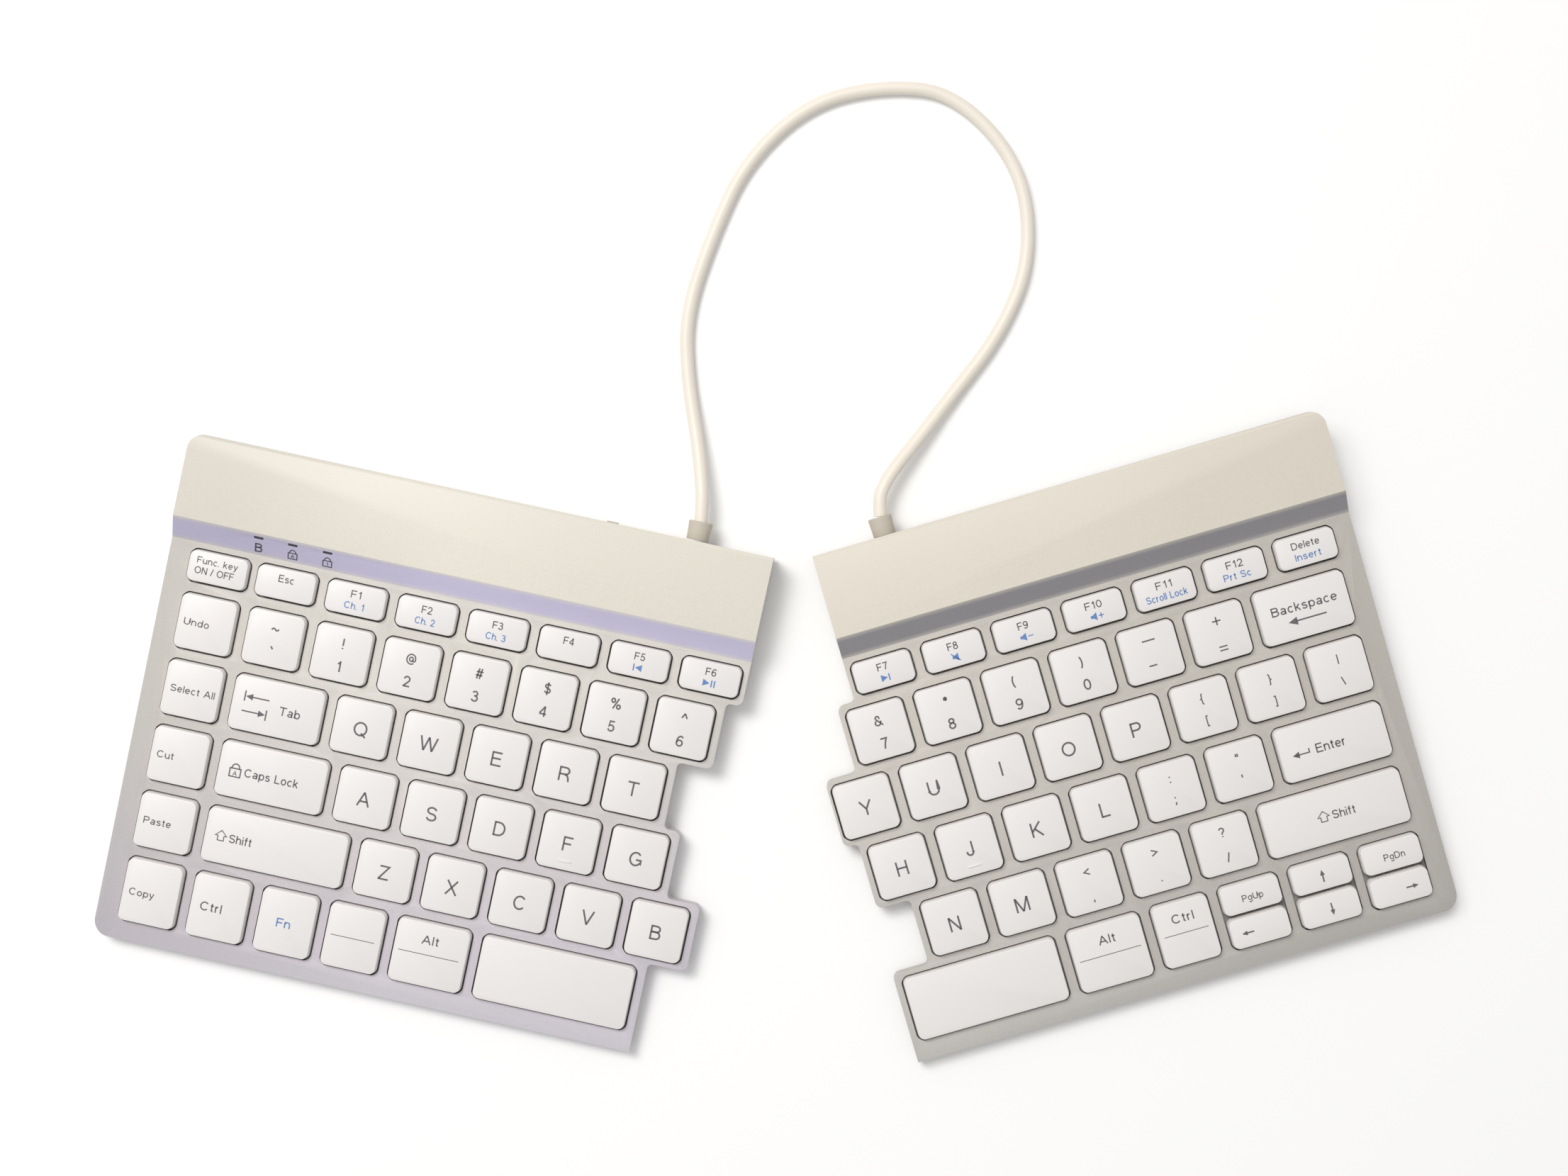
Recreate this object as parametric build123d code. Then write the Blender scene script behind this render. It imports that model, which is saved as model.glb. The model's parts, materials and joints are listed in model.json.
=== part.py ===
from build123d import *
from math import asin, atan, cos, degrees, radians, sin, tan
import os

# Split keyboard in two halves that lie splayed on the table, joined by a link cable.
# Each half is drawn in its own flat frame: x along the key rows, y away from the
# user, with the first key of the number row at zero, and is then turned into place.
# All lengths are in millimetres and all angles in degrees.

# Keyboard grid
key_pitch = 19.0
row_pitch = 18.58
function_pitch = 19.74
cap_gap_across = 3.65
cap_gap_between_rows = 3.75
function_cap_width = 16.1
function_cap_depth = 8.3
front_cap_depth = 17.3
space_cap_width = 42.35
half_key_split = 1.4
upper_half_key_depth = 7.9

# Key caps and how they move
cap_stand = 2.0
cap_height = 2.9
cap_draft = 0.25
cap_corner = 1.2
cap_roof = 1.1
cap_wall = 1.0
key_travel = 1.6
well_gap = 0.4
well_corner = 1.45

# Case heights and slope
deck_tilt = 2.03
deck_height_at_front = 5.6
hump_front_height = 13.2
hump_rear_height = 13.6
foot_stand = 0.8
parting_height = 2.1
floor_thickness = 1.0
deck_thickness = 1.2
side_wall = 0.8
rear_edge_bevel = 0.9
slope_depth = 5.9
slope_margin = 1.5
hump_depth = 23.1

# Case outline round the keys
outer_rim = 5.9
front_rim = 5.2
outer_corner_radius = 4.5
step_outer_radius = 1.9
step_inner_radius = 1.4
step_rounds_share = 0.99
left_function_rim = 1.3
left_letter_rim = 1.9
left_space_rim = 2.2
right_function_rim = 1.1
right_number_rim = 1.3
right_top_letter_rim = 0.6
right_home_rim = 1.45
right_lower_rim = 1.65

# Places along the rows that are off the regular grid
left_function_first = 0.25
left_function_start = 38.85
right_function_start = 5.25
left_alt_place_share = 4.125
alt_width_share = 1.25
left_space_gap = 3.67
right_space_gap = 3.775
right_alt_place = 42.95
right_control_place = 64.35
arrow_start = 83.8

# Inner stack under the caps
stack_clearance = 0.3
membrane_thickness = 0.3
plate_thickness = 0.5
plate_margin = 1.1
seat_gap = 0.05
dome_base = 5.2
dome_top = 2.6
dome_gap = 0.15
scissor_width = 9.6
scissor_depth = 8.6
scissor_bar = 0.7
scissor_thickness = 0.5
scissor_gap = 0.2
small_scissor_depth = 4.8
small_dome_base = 2.4
post_width = 1.6
rib_width = 1.2
rib_shares = (0.2, 0.5, 0.8)
post_shares = (0.2, 0.5, 0.8)

# Parts in the hump
board_thickness = 1.0
board_height = 5.0
board_margin = 2.0
board_tongue_depth = 8.0
board_chip = 7.0
board_chip_height = 0.9
battery_length = 62.0
battery_depth = 15.0
battery_height = 5.0
battery_place = 38.0
board_from_battery = 9.0
port_place = 88.0
port_width = 9.0
port_height = 3.2
port_length = 7.4
port_shell = 0.3
port_corner = 0.9
port_tongue_height = 0.7
port_tongue_share = 0.75
port_gap = 0.15
switch_place = 103.7
switch_slot_width = 6.2
switch_slot_height = 2.2
switch_knob_width = 3.0
switch_knob_reach = 0.4
switch_carriage_depth = 1.6
switch_carriage_extra = 2.4
switch_travel = 2.4
switch_gap = 0.2
lens_width = 2.6
lens_depth = 0.6
lens_places = (9.8, 19.3, 29.0)
lens_from_slope_top = 1.2

# Fasteners and feet
screw_shank_radius = 0.9
screw_head_radius = 1.9
screw_head_height = 0.5
screw_hole_gap = 0.2
screw_thread_gap = 0.05
screw_bite = 2.6
boss_width = 4.0
screw_from_rear = 8.0
screw_from_outer_side = 6.0
screw_from_seam = 9.0
# Small rounds that repeat are drawn with this many flats
small_round_sides = 12
foot_length = 16.0
foot_width = 5.0
foot_corner = 1.2
foot_recess = 0.4
foot_from_side = 22.0
foot_from_end = 7.0
bottom_inset = 0.5
bottom_bevel = 0.8
bottom_corner = 2.2

# Link cable and its strain reliefs
cable_diameter = 3.6
cable_rise = 7.2
relief_length = 5.2
relief_root_radius = 3.05
relief_tip_radius = 3.35
relief_neck_radius = 2.5
relief_flange_radius = 3.6
relief_flange_length = 1.2
relief_gap = 0.1
relief_sides = 20
cable_sides = 12
cable_end_gap = 0.5
left_cable_lead = 4.0
right_cable_lead = 3.6
left_cable_askew = 8.0
right_cable_askew = -14.0
corner_share = 0.45
left_relief_place = 126.5
right_relief_place = 16.0

# How the halves lie: the turn of each, and the right one's inner rear corner seen
# from the left one's
left_turn = -12.25
right_turn = 16.29
rear_corner_across = 10.39
rear_corner_behind = 0.37

# Sizes that follow
cap_width = key_pitch - cap_gap_across
cap_depth = row_pitch - cap_gap_between_rows
half_row = row_pitch / 2
function_row_y = (cap_depth + function_cap_depth) / 2 + cap_gap_between_rows
front_row_y = -3 * row_pitch - (cap_depth + front_cap_depth) / 2 - cap_gap_between_rows
well_reach = cap_draft + well_gap
front_y = front_row_y - front_cap_depth / 2 - well_reach - front_rim
slope_foot_y = function_row_y + function_cap_depth / 2 + well_reach + slope_margin
slope_top_y = slope_foot_y + slope_depth
rear_y = slope_top_y + hump_depth
tilt = radians(deck_tilt)
deck_height_at_zero = deck_height_at_front - front_y * tan(tilt)
cap_base_rest = cap_stand - cap_height
membrane_top = cap_base_rest - key_travel - stack_clearance
plate_top = membrane_top - membrane_thickness
plate_bottom = plate_top - plate_thickness
floor_top = foot_stand + floor_thickness
overrun = 2 * hump_rear_height
screw_seat = foot_stand + screw_head_height
screw_shank_length = floor_thickness - screw_head_height + screw_bite
plate_front_y = front_row_y - front_cap_depth / 2 - well_reach
plate_rear_y = slope_foot_y - slope_margin / 2

# The tilted frame that the caps, the membrane and the plate are drawn in
deck_plane = Plane(
    origin=(0, 0, deck_height_at_zero),
    x_dir=(1, 0, 0),
    z_dir=(0, -sin(tilt), cos(tilt)),
)


def wide_cap(pitches):
    """Width of a cap that takes that many key pitches."""
    return pitches * key_pitch - cap_gap_across


# The space keys lie beside the wider key next to them, and the wide part of the left
# board starts beside the battery
alt_reach = wide_cap(alt_width_share) / 2
left_space_place = left_alt_place_share * key_pitch + alt_reach + left_space_gap + space_cap_width / 2
right_space_place = right_alt_place - alt_reach - right_space_gap - space_cap_width / 2
board_wide_start = battery_place + battery_length / 2 + board_from_battery


def grid_row(names, first_share, row):
    """One-pitch keys side by side, from the centre of the first in key pitches."""
    y = -row * row_pitch
    return [
        (name, (first_share + i) * key_pitch, y, cap_width, cap_depth)
        for i, name in enumerate(names)
    ]


def grid_key(name, centre_share, width_share, row):
    """One key of any width, placed and sized in key pitches."""
    return (name, centre_share * key_pitch, -row * row_pitch, wide_cap(width_share), cap_depth)


def front_key(name, x, width):
    """One of the deeper keys of the row nearest the user."""
    return (name, x, front_row_y, width, front_cap_depth)


def function_keys(name, start, count):
    """Low keys of the function row, on their own wider pitch."""
    return [
        (name, start + i * function_pitch, function_row_y, function_cap_width, function_cap_depth)
        for i in range(count)
    ]


def half_key_pair(name, x):
    """Two low keys, one behind the other, that share one well."""
    lower_depth = front_cap_depth - half_key_split - upper_half_key_depth
    rear_edge = front_row_y + front_cap_depth / 2
    front_edge = front_row_y - front_cap_depth / 2
    return [
        (name, x, rear_edge - upper_half_key_depth / 2, function_cap_width, upper_half_key_depth),
        (name, x, front_edge + lower_depth / 2, function_cap_width, lower_depth),
    ]


def letters(text):
    return ["key_" + letter for letter in text]


# Each key is (node, x, y, cap width, cap depth), measured on the flat top of its cap.
function_group = "keys_left_function_row"
number_group = "keys_left_number_row"
edit_group = "keys_left_edit_column"
modifier_group = "keys_left_modifiers"

left_keys = (
    [
        (function_group, x, function_row_y, function_cap_width, function_cap_depth)
        for x in (left_function_first, left_function_first + key_pitch)
    ]
    + function_keys(function_group, left_function_start, 6)
    + grid_row([number_group] * 7, 1, 0)
    + [grid_key(edit_group, 0, 1, row) for row in range(4)]
    + [front_key(edit_group, 0, cap_width)]
    + [grid_key(modifier_group, 1.25, 1.5, 1)]
    + [grid_key(modifier_group, 1.375, 1.75, 2)]
    + [grid_key(modifier_group, 1.625, 2.25, 3)]
    + [front_key(modifier_group, i * key_pitch, cap_width) for i in (1, 2, 3)]
    + [front_key(modifier_group, left_alt_place_share * key_pitch, wide_cap(alt_width_share))]
    + grid_row(letters("qwert"), 2.5, 1)
    + grid_row(letters("asdfg"), 2.75, 2)
    + grid_row(letters("zxcvb"), 3.25, 3)
    + [front_key("key_space_left", left_space_place, space_cap_width)]
)

function_group = "keys_right_function_row"
number_group = "keys_right_number_row"
punctuation_group = "keys_right_punctuation"
wide_group = "keys_right_wide"
arrow_group = "keys_right_modifiers_and_arrows"

right_keys = (
    function_keys(function_group, right_function_start, 7)
    + grid_row([number_group] * 6, 0, 0)
    + [grid_key(wide_group, 6.25, 1.5, 0)]
    + grid_row(letters("yuiop") + [punctuation_group] * 3, -0.5, 1)
    + grid_row(letters("hjkl") + [punctuation_group] * 2, -0.25, 2)
    + [grid_key(wide_group, 6.125, 1.75, 2)]
    + grid_row(letters("nm") + [punctuation_group] * 3, 0.25, 3)
    + [grid_key(wide_group, 5.875, 2.25, 3)]
    + [front_key("key_space_right", right_space_place, space_cap_width)]
    + [front_key(arrow_group, right_alt_place, wide_cap(alt_width_share))]
    + [front_key(arrow_group, right_control_place, cap_width)]
    + [
        key
        for i in range(3)
        for key in half_key_pair(arrow_group, arrow_start + i * function_pitch)
    ]
)


def row_keys(keys, y):
    return [key for key in keys if abs(key[2] - y) < half_row / 2]


def well_right_edge(keys, y):
    """Right edge of the last well in a row."""
    return max(x + width / 2 + well_reach for _, x, _, width, _ in row_keys(keys, y))


def well_left_edge(keys, y):
    """Left edge of the first well in a row."""
    return min(x - width / 2 - well_reach for _, x, _, width, _ in row_keys(keys, y))


row_centres = [function_row_y, 0, -row_pitch, -2 * row_pitch, -3 * row_pitch, front_row_y]
step_heights = [half_row - row * row_pitch for row in range(5)]
left_rims = [left_function_rim] + [left_letter_rim] * 4 + [left_space_rim]
right_rims = [
    right_function_rim,
    right_number_rim,
    right_top_letter_rim,
    right_home_rim,
    right_lower_rim,
    right_lower_rim,
]
left_seam = [well_right_edge(left_keys, y) + rim for y, rim in zip(row_centres, left_rims)]
right_seam = [well_left_edge(right_keys, y) - rim for y, rim in zip(row_centres, right_rims)]
left_outer_x = well_left_edge(left_keys, 0) - outer_rim
right_outer_x = well_right_edge(right_keys, 0) + outer_rim


def half_outline(seam, outer_x, inward, rear, front):
    """Corners of a half's plan, down the stepped seam and back along the outer side.

    inward pulls every side in by that much. Returns the corners and, for each,
    what kind it is: a seam end, the outside or the inside of a step, or an outer one.
    """
    side = 1 if seam[0] > outer_x else -1
    edges = [x - side * inward for x in seam]
    corners = [(edges[0], rear - inward)]
    kinds = ["end"]
    for row, y in enumerate(step_heights):
        steps_out = side * (edges[row + 1] - edges[row]) > 0
        shift = inward if steps_out else -inward
        corners += [(edges[row], y - shift), (edges[row + 1], y - shift)]
        kinds += ["inside", "outside"] if steps_out else ["outside", "inside"]
    far_x = outer_x + side * inward
    corners += [(edges[-1], front + inward), (far_x, front + inward), (far_x, rear - inward)]
    kinds += ["end", "outer", "outer"]
    return corners, kinds


def plan_face(corners):
    return make_face(Polyline(*corners, close=True))


def rounded_plan(corners, kinds, radii):
    """The plan with each kind of corner rounded by its own radius.

    Where a side is too short for the rounds at its two ends, both shrink to fit it.
    """
    face = plan_face(corners)
    spots = [Vector(x, y) for x, y in corners]
    sizes = [radii.get(kind, 0) for kind in kinds]
    for place, (spot, radius) in enumerate(zip(spots, sizes)):
        if not radius:
            continue
        for other in (place - 1, (place + 1) % len(spots)):
            room = step_rounds_share * (spots[other] - spot).length
            radius = min(radius, room * sizes[place] / (sizes[place] + sizes[other]))
        chosen = [v for v in face.vertices() if (Vector(v) - spot).length < side_wall / 2]
        face = fillet(chosen, radius)
    return face


def side_profile(points, reach):
    """A solid with this outline in y and z, as long as the reach along x both ways."""
    face = make_face(Polyline(*points, close=True))
    return extrude(Plane.YZ * face, reach, both=True)


def deck_height(y):
    return deck_height_at_zero + y * tan(tilt)


def cut_corner_face(width, depth, corner):
    return chamfer(Rectangle(width, depth).vertices(), corner)


def tapered(face, low, high, draft):
    """The face at the low height, drawn in by the draft on every side as it rises."""
    lean = degrees(atan(draft / (high - low)))
    return extrude(Plane.XY.offset(low) * face, high - low, taper=lean)


def key_cap(width, depth):
    """A hollow cap with sides that lean in to its flat top."""
    base = cut_corner_face(width + 2 * cap_draft, depth + 2 * cap_draft, cap_corner)
    shell = tapered(base, cap_base_rest, cap_stand, cap_draft)
    hollow = Box(
        width - 2 * cap_wall,
        depth - 2 * cap_wall,
        cap_height - cap_roof,
        align=(Align.CENTER, Align.CENTER, Align.MIN),
    )
    return shell - Pos(0, 0, cap_base_rest) * hollow


def on_deck(x, y, shape):
    return deck_plane * Pos(x, y) * shape


def well_outlines(keys):
    """Centre and size of each well. The two half keys of a pair share one."""
    wells = []
    for _, x, y, width, depth in keys:
        if y < step_heights[-1]:
            y = front_row_y
            depth = front_cap_depth
        outline = (x, y, width + 2 * well_reach, depth + 2 * well_reach)
        if outline not in wells:
            wells.append(outline)
    return wells


def well_tools(keys):
    """What the wells take out of the deck, and out of a wall that stands too near."""
    bottom = membrane_top
    tools = []
    for x, y, width, depth in well_outlines(keys):
        face = cut_corner_face(width, depth, well_corner)
        tools.append(on_deck(x, y, extrude(Plane.XY.offset(bottom) * face, cap_stand - bottom)))
    return tools


def case_blank(seam, outer_x):
    """The outside of a half above its parting line, with the edge of its top eased."""
    column = extrude(half_plan(seam, outer_x), overrun)
    profile = [
        (front_y - overrun, parting_height),
        (front_y - overrun, deck_height(front_y - overrun)),
        (slope_foot_y, deck_height(slope_foot_y)),
        (slope_top_y, hump_front_height),
        (rear_y - rear_edge_bevel, hump_rear_height),
        (rear_y, hump_rear_height - rear_edge_bevel),
        (rear_y, parting_height),
    ]
    return column & side_profile(profile, overrun * 10)


def case_cavity(seam, outer_x):
    """The hollow inside the top case, open at the parting line."""
    corners, _ = half_outline(seam, outer_x, side_wall, rear_y, front_y)
    column = extrude(plan_face(corners), overrun)
    drop = deck_thickness
    profile = [
        (front_y, 0),
        (front_y, deck_height(front_y) - drop),
        (slope_foot_y + drop / 2, deck_height(slope_foot_y) - drop),
        (slope_top_y + drop / 2, hump_front_height - drop),
        (rear_y, hump_rear_height - drop),
        (rear_y, 0),
    ]
    return column & side_profile(profile, overrun * 10)


def screw_spots(side, seam, outer_x):
    """Two screws in the hump and one in the front rim."""
    rear = rear_y - screw_from_rear
    front = front_y + (front_rim + side_wall) / 2 - screw_hole_gap
    middle = (seam[-1] + outer_x) / 2
    return [
        (outer_x + side * screw_from_outer_side, rear),
        (seam[0] - side * screw_from_seam, rear - screw_from_rear),
        (middle, front),
    ]


def screw_posts(spots):
    """Posts that hang from the top case and take the screws."""
    posts = []
    for x, y in spots:
        post = Box(boss_width, boss_width, overrun, align=(Align.CENTER, Align.CENTER, Align.MIN))
        posts.append(Pos(x, y, floor_top) * post)
    return posts


def round_hole(radius, sides):
    """A hole's section with its flats at the radius, so that a round of that radius fits."""
    return RegularPolygon(radius, sides, major_radius=False)


def screw_bores(spots):
    """Bores in the posts, a little deeper and wider than the screws."""
    section = round_hole(screw_shank_radius + screw_thread_gap, small_round_sides)
    depth = screw_seat + screw_shank_length + screw_hole_gap
    return [Pos(x, y) * extrude(section, depth) for x, y in spots]


def membrane_posts(keys):
    """Short posts between the rows that hold the membrane down on its plate."""
    spots = []
    for row in (0, 1, 2, 3):
        left = well_left_edge(keys, -row * row_pitch)
        right = well_right_edge(keys, -row * row_pitch)
        for share in post_shares:
            spots.append((left + share * (right - left), -row * row_pitch - half_row))
    height = -membrane_top
    post = Box(post_width, post_width, height, align=(Align.CENTER, Align.CENTER, Align.MAX))
    return [on_deck(x, y, post) for x, y in spots]


def top_case(side, keys, seam, outer_x, relief_x, cuts):
    """The upper shell of a half with its key wells, posts and rear openings."""
    blank = case_blank(seam, outer_x)
    hollow = case_cavity(seam, outer_x)
    shell = blank - hollow
    supports = [post & blank for post in screw_posts(screw_spots(side, seam, outer_x))]
    supports += membrane_posts(keys)
    shell = shell + supports
    section = round_hole(relief_neck_radius + relief_gap, relief_sides)
    hole = extrude(Plane.XZ * section, side_wall + rear_edge_bevel, both=True)
    tools = well_tools(keys) + screw_bores(screw_spots(side, seam, outer_x)) + cuts
    return shell - tools - Pos(relief_x, rear_y, cable_rise) * hole


def bottom_case(side, seam, outer_x):
    """The tray under a half: floor, rim, recesses for feet and screws, and ribs."""
    corners, kinds = half_outline(seam, outer_x, bottom_inset, rear_y, front_y)
    face = plan_face(corners)
    round_spots = [Vector(x, y) for (x, y), k in zip(corners, kinds) if k in ("outer", "outside")]
    eased = [
        vertex
        for vertex in face.vertices()
        if any((Vector(vertex) - spot).length < side_wall / 2 for spot in round_spots)
    ]
    face = chamfer(eased, bottom_corner / 2)
    tray = Pos(0, 0, foot_stand) * extrude(face, parting_height - foot_stand)
    inner, _ = half_outline(seam, outer_x, 2 * side_wall + bottom_inset, rear_y, front_y)
    tray -= Pos(0, 0, floor_top) * extrude(plan_face(inner), overrun)
    ribs = plate_ribs(seam, outer_x)
    tray = tray + ribs
    tools = []
    for x, y in screw_spots(side, seam, outer_x):
        shank = round_hole(screw_shank_radius + screw_hole_gap, small_round_sides)
        head = round_hole(screw_head_radius + screw_hole_gap, small_round_sides)
        tools += [Pos(x, y) * extrude(shank, overrun), Pos(x, y) * extrude(head, screw_seat)]
    for x, y in foot_spots(side, seam, outer_x):
        tools.append(Pos(x, y, foot_stand - foot_recess) * foot_block(2 * foot_recess))
    return tray - tools


def plate_ribs(seam, outer_x):
    """Wedge ribs on the floor that carry the key plate, clear of it by the seat gap."""
    low = min(seam[1:] + [outer_x])
    high = max(seam[1:] + [outer_x])
    under = plate_bottom - seat_gap
    rear = plate_rear_y - slope_margin
    front = plate_front_y + 2 * slope_margin
    profile = [
        (front, floor_top),
        (rear, floor_top),
        (rear, deck_height(rear) + under / cos(tilt)),
        (front, deck_height(front) + under / cos(tilt)),
    ]
    rib = side_profile(profile, rib_width / 2)
    return [Pos(low + share * (high - low)) * rib for share in rib_shares]


def foot_spots(side, seam, outer_x):
    """A foot near each corner of the half."""
    near = outer_x + side * foot_from_side
    far = seam[-1] - side * foot_from_side
    return [(x, y) for x in (near, far) for y in (front_y + foot_from_end, rear_y - foot_from_end)]


def foot_block(height):
    face = chamfer(Rectangle(foot_length, foot_width).vertices(), foot_corner)
    return extrude(face, height)


def feet(side, seam, outer_x):
    """Rubber pads set into the floor of the half."""
    pad = foot_block(foot_stand + foot_recess)
    return [Pos(x, y) * pad for x, y in foot_spots(side, seam, outer_x)]


def screws(side, seam, outer_x):
    """Self-tapping screws that come up through the floor into the posts."""
    shank = RegularPolygon(screw_shank_radius, small_round_sides)
    head = RegularPolygon(screw_head_radius, small_round_sides)
    screw = extrude(shank, screw_shank_length) + extrude(head, -screw_head_height)
    return [Pos(x, y, screw_seat) * screw for x, y in screw_spots(side, seam, outer_x)]


def deck_sheet(seam, outer_x, low, thickness):
    """A sheet that lies parallel to the deck and fills the plan of the key field."""
    corners, _ = half_outline(seam, outer_x, plate_margin, plate_rear_y, plate_front_y)
    rear = plate_rear_y
    front = plate_front_y
    flat = []
    for x, y in corners:
        if y > step_heights[0] + plate_margin:
            y = rear
        if y < step_heights[-1] - plate_margin:
            y = front
        flat.append((x, y))
    return deck_plane * Pos(0, 0, low) * extrude(plan_face(flat), thickness)


def dome(base, low):
    """A rubber dome as a short four-sided cone."""
    crown = cap_base_rest + cap_height - cap_roof - dome_gap
    narrowing = base * (1 - dome_top / dome_base) / 2
    return tapered(Rectangle(base, base), low, crown, narrowing)


def membrane(keys, seam, outer_x):
    """The contact membrane with a rubber dome under every key."""
    sheet = deck_sheet(seam, outer_x, plate_top, membrane_thickness)
    domes = []
    for _, x, y, _, depth in keys:
        base = dome_base if depth > function_cap_depth else small_dome_base
        domes.append(on_deck(x, y, dome(base, membrane_top - membrane_thickness / 2)))
    return sheet + domes


def scissor(depth):
    """The frame that keeps a cap level: it hooks to the plate in front and to the cap behind."""
    long_side = scissor_depth if depth > function_cap_depth else small_scissor_depth
    frame = Box(scissor_width, long_side, scissor_thickness)
    window = Box(
        scissor_width - 2 * scissor_bar,
        long_side - 2 * scissor_bar,
        2 * scissor_thickness,
    )
    roof = cap_base_rest + cap_height - cap_roof
    rise = (roof - membrane_top) / 2 - scissor_gap - scissor_thickness / 2
    slant = degrees(asin(2 * rise / long_side))
    return Pos(0, 0, (membrane_top + roof) / 2) * Rot(slant, 0, 0) * (frame - window)


def scissors(keys):
    return [on_deck(x, y, scissor(depth)) for _, x, y, _, depth in keys]


def left_board():
    """Circuit board: a strip behind the keys that widens at the port, switch and cable."""
    low = left_outer_x + side_wall + board_margin
    high = left_seam[0] - screw_from_seam - boss_width
    front = slope_foot_y + side_wall
    rear = rear_y - side_wall - relief_flange_length - board_margin
    corners = [
        (low, front),
        (high, front),
        (high, rear - screw_from_rear - boss_width),
        (switch_place + switch_slot_width * 2, rear - screw_from_rear - boss_width),
        (switch_place + switch_slot_width * 2, rear),
        (board_wide_start, rear),
        (board_wide_start, front + board_tongue_depth),
        (low, front + board_tongue_depth),
    ]
    board = Pos(0, 0, board_height) * extrude(plan_face(corners), board_thickness)
    chip = extrude(Rectangle(board_chip, board_chip), board_chip_height)
    top = board_height + board_thickness
    return board + Pos((board_wide_start + switch_place) / 2, front + board_tongue_depth, top) * chip


def right_board():
    """Circuit board of the right half, behind its function row."""
    low = right_seam[0] + screw_from_seam + boss_width
    high = low + battery_length
    front = slope_foot_y + side_wall
    rear = front + 2 * board_tongue_depth
    corners = [(low, front), (high, front), (high, rear), (low, rear)]
    board = Pos(0, 0, board_height) * extrude(plan_face(corners), board_thickness)
    chip = extrude(Rectangle(board_chip, board_chip), board_chip_height)
    top = board_height + board_thickness
    return board + Pos((low + high) / 2, (front + rear) / 2, top) * chip


def board_rests(low_x, high_x):
    """Posts of the bottom case that carry a board, clear of it by the seat gap."""
    height = board_height - seat_gap - floor_top
    post = Box(boss_width, boss_width, height, align=(Align.CENTER, Align.CENTER, Align.MIN))
    y = slope_foot_y + side_wall + board_tongue_depth / 2
    return [Pos(x, y, floor_top) * post for x in (low_x, high_x)]


def battery():
    """Flat cell on the floor of the hump."""
    cell = chamfer(Rectangle(battery_length, battery_depth).vertices(), foot_corner)
    rear = rear_y - side_wall - board_margin
    spot = Pos(battery_place, rear - battery_depth / 2, floor_top + seat_gap)
    return spot * extrude(cell, battery_height)


def port_face(width, height):
    return chamfer(Rectangle(width, height).vertices(), port_corner)


port_centre_height = board_height + board_thickness + port_height / 2 + seat_gap


def port_opening():
    """Opening for the charging port in the rear wall."""
    face = port_face(port_width + 2 * port_gap, port_height + 2 * port_gap)
    tool = extrude(Plane.XZ * face, side_wall + rear_edge_bevel, both=True)
    return Pos(port_place, rear_y, port_centre_height) * tool


def charging_port():
    """Metal shell of the charging port with its contact tongue."""
    outer = extrude(Plane.XZ * port_face(port_width, port_height), port_length)
    inner_width = port_width - 2 * port_shell
    inner_height = port_height - 2 * port_shell
    inner = extrude(Plane.XZ * port_face(inner_width, inner_height), port_length - port_shell)
    tongue_length = port_length - 2 * port_shell
    tongue = Box(
        inner_width * port_tongue_share,
        tongue_length,
        port_tongue_height,
        align=(Align.CENTER, Align.MIN, Align.CENTER),
    )
    start = Pos(0, -(port_length - port_shell / 2), 0)
    shell = outer_to_rear(outer) - outer_to_rear(inner)
    port = shell + start * tongue
    return Pos(port_place, rear_y - port_shell, port_centre_height) * port


def outer_to_rear(shape):
    """Turns a port extrusion so that it runs from the rear wall into the case."""
    box = shape.bounding_box()
    return Pos(0, -box.max.Y, 0) * shape


def switch_slot():
    """Slot for the power switch in the rear wall."""
    slot = Box(switch_slot_width, 2 * (side_wall + rear_edge_bevel), switch_slot_height)
    return Pos(switch_place, rear_y, port_centre_height) * slot


def power_switch():
    """Slide knob of the power switch with the carriage behind the wall."""
    knob = Box(
        switch_knob_width,
        side_wall + switch_gap + switch_knob_reach,
        switch_slot_height - 2 * switch_gap,
        align=(Align.CENTER, Align.MIN, Align.CENTER),
    )
    carriage = Box(
        switch_knob_width + switch_carriage_extra,
        switch_carriage_depth,
        switch_slot_height + switch_carriage_extra / 2,
        align=(Align.CENTER, Align.MAX, Align.CENTER),
    )
    rest = switch_place - switch_travel / 2
    return Pos(rest, rear_y - side_wall - switch_gap, port_centre_height) * (knob + carriage)


slope_rise = hump_front_height - deck_height(slope_foot_y)
slope_angle = slope_rise / slope_depth


def lens_height(y):
    return deck_height(slope_foot_y) + (y - slope_foot_y) * slope_angle


def lens_tools():
    """Slots for the three indicator lenses near the top of the slope."""
    y = slope_top_y - lens_from_slope_top
    slot = Box(lens_width, lens_depth, overrun, align=(Align.CENTER, Align.CENTER, Align.MIN))
    return [Pos(x, y, board_height + board_thickness) * slot for x in lens_places]


def lenses():
    """Light guides that stand on the board and fill the slots, flush with the slope."""
    y = slope_top_y - lens_from_slope_top
    half = lens_depth / 2 - seat_gap
    low = board_height + board_thickness + seat_gap
    points = [
        (y - half, low),
        (y + half, low),
        (y + half, lens_height(y + half)),
        (y - half, lens_height(y - half)),
    ]
    guide = side_profile(points, lens_width / 2 - seat_gap)
    return [Pos(x) * guide for x in lens_places]


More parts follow.
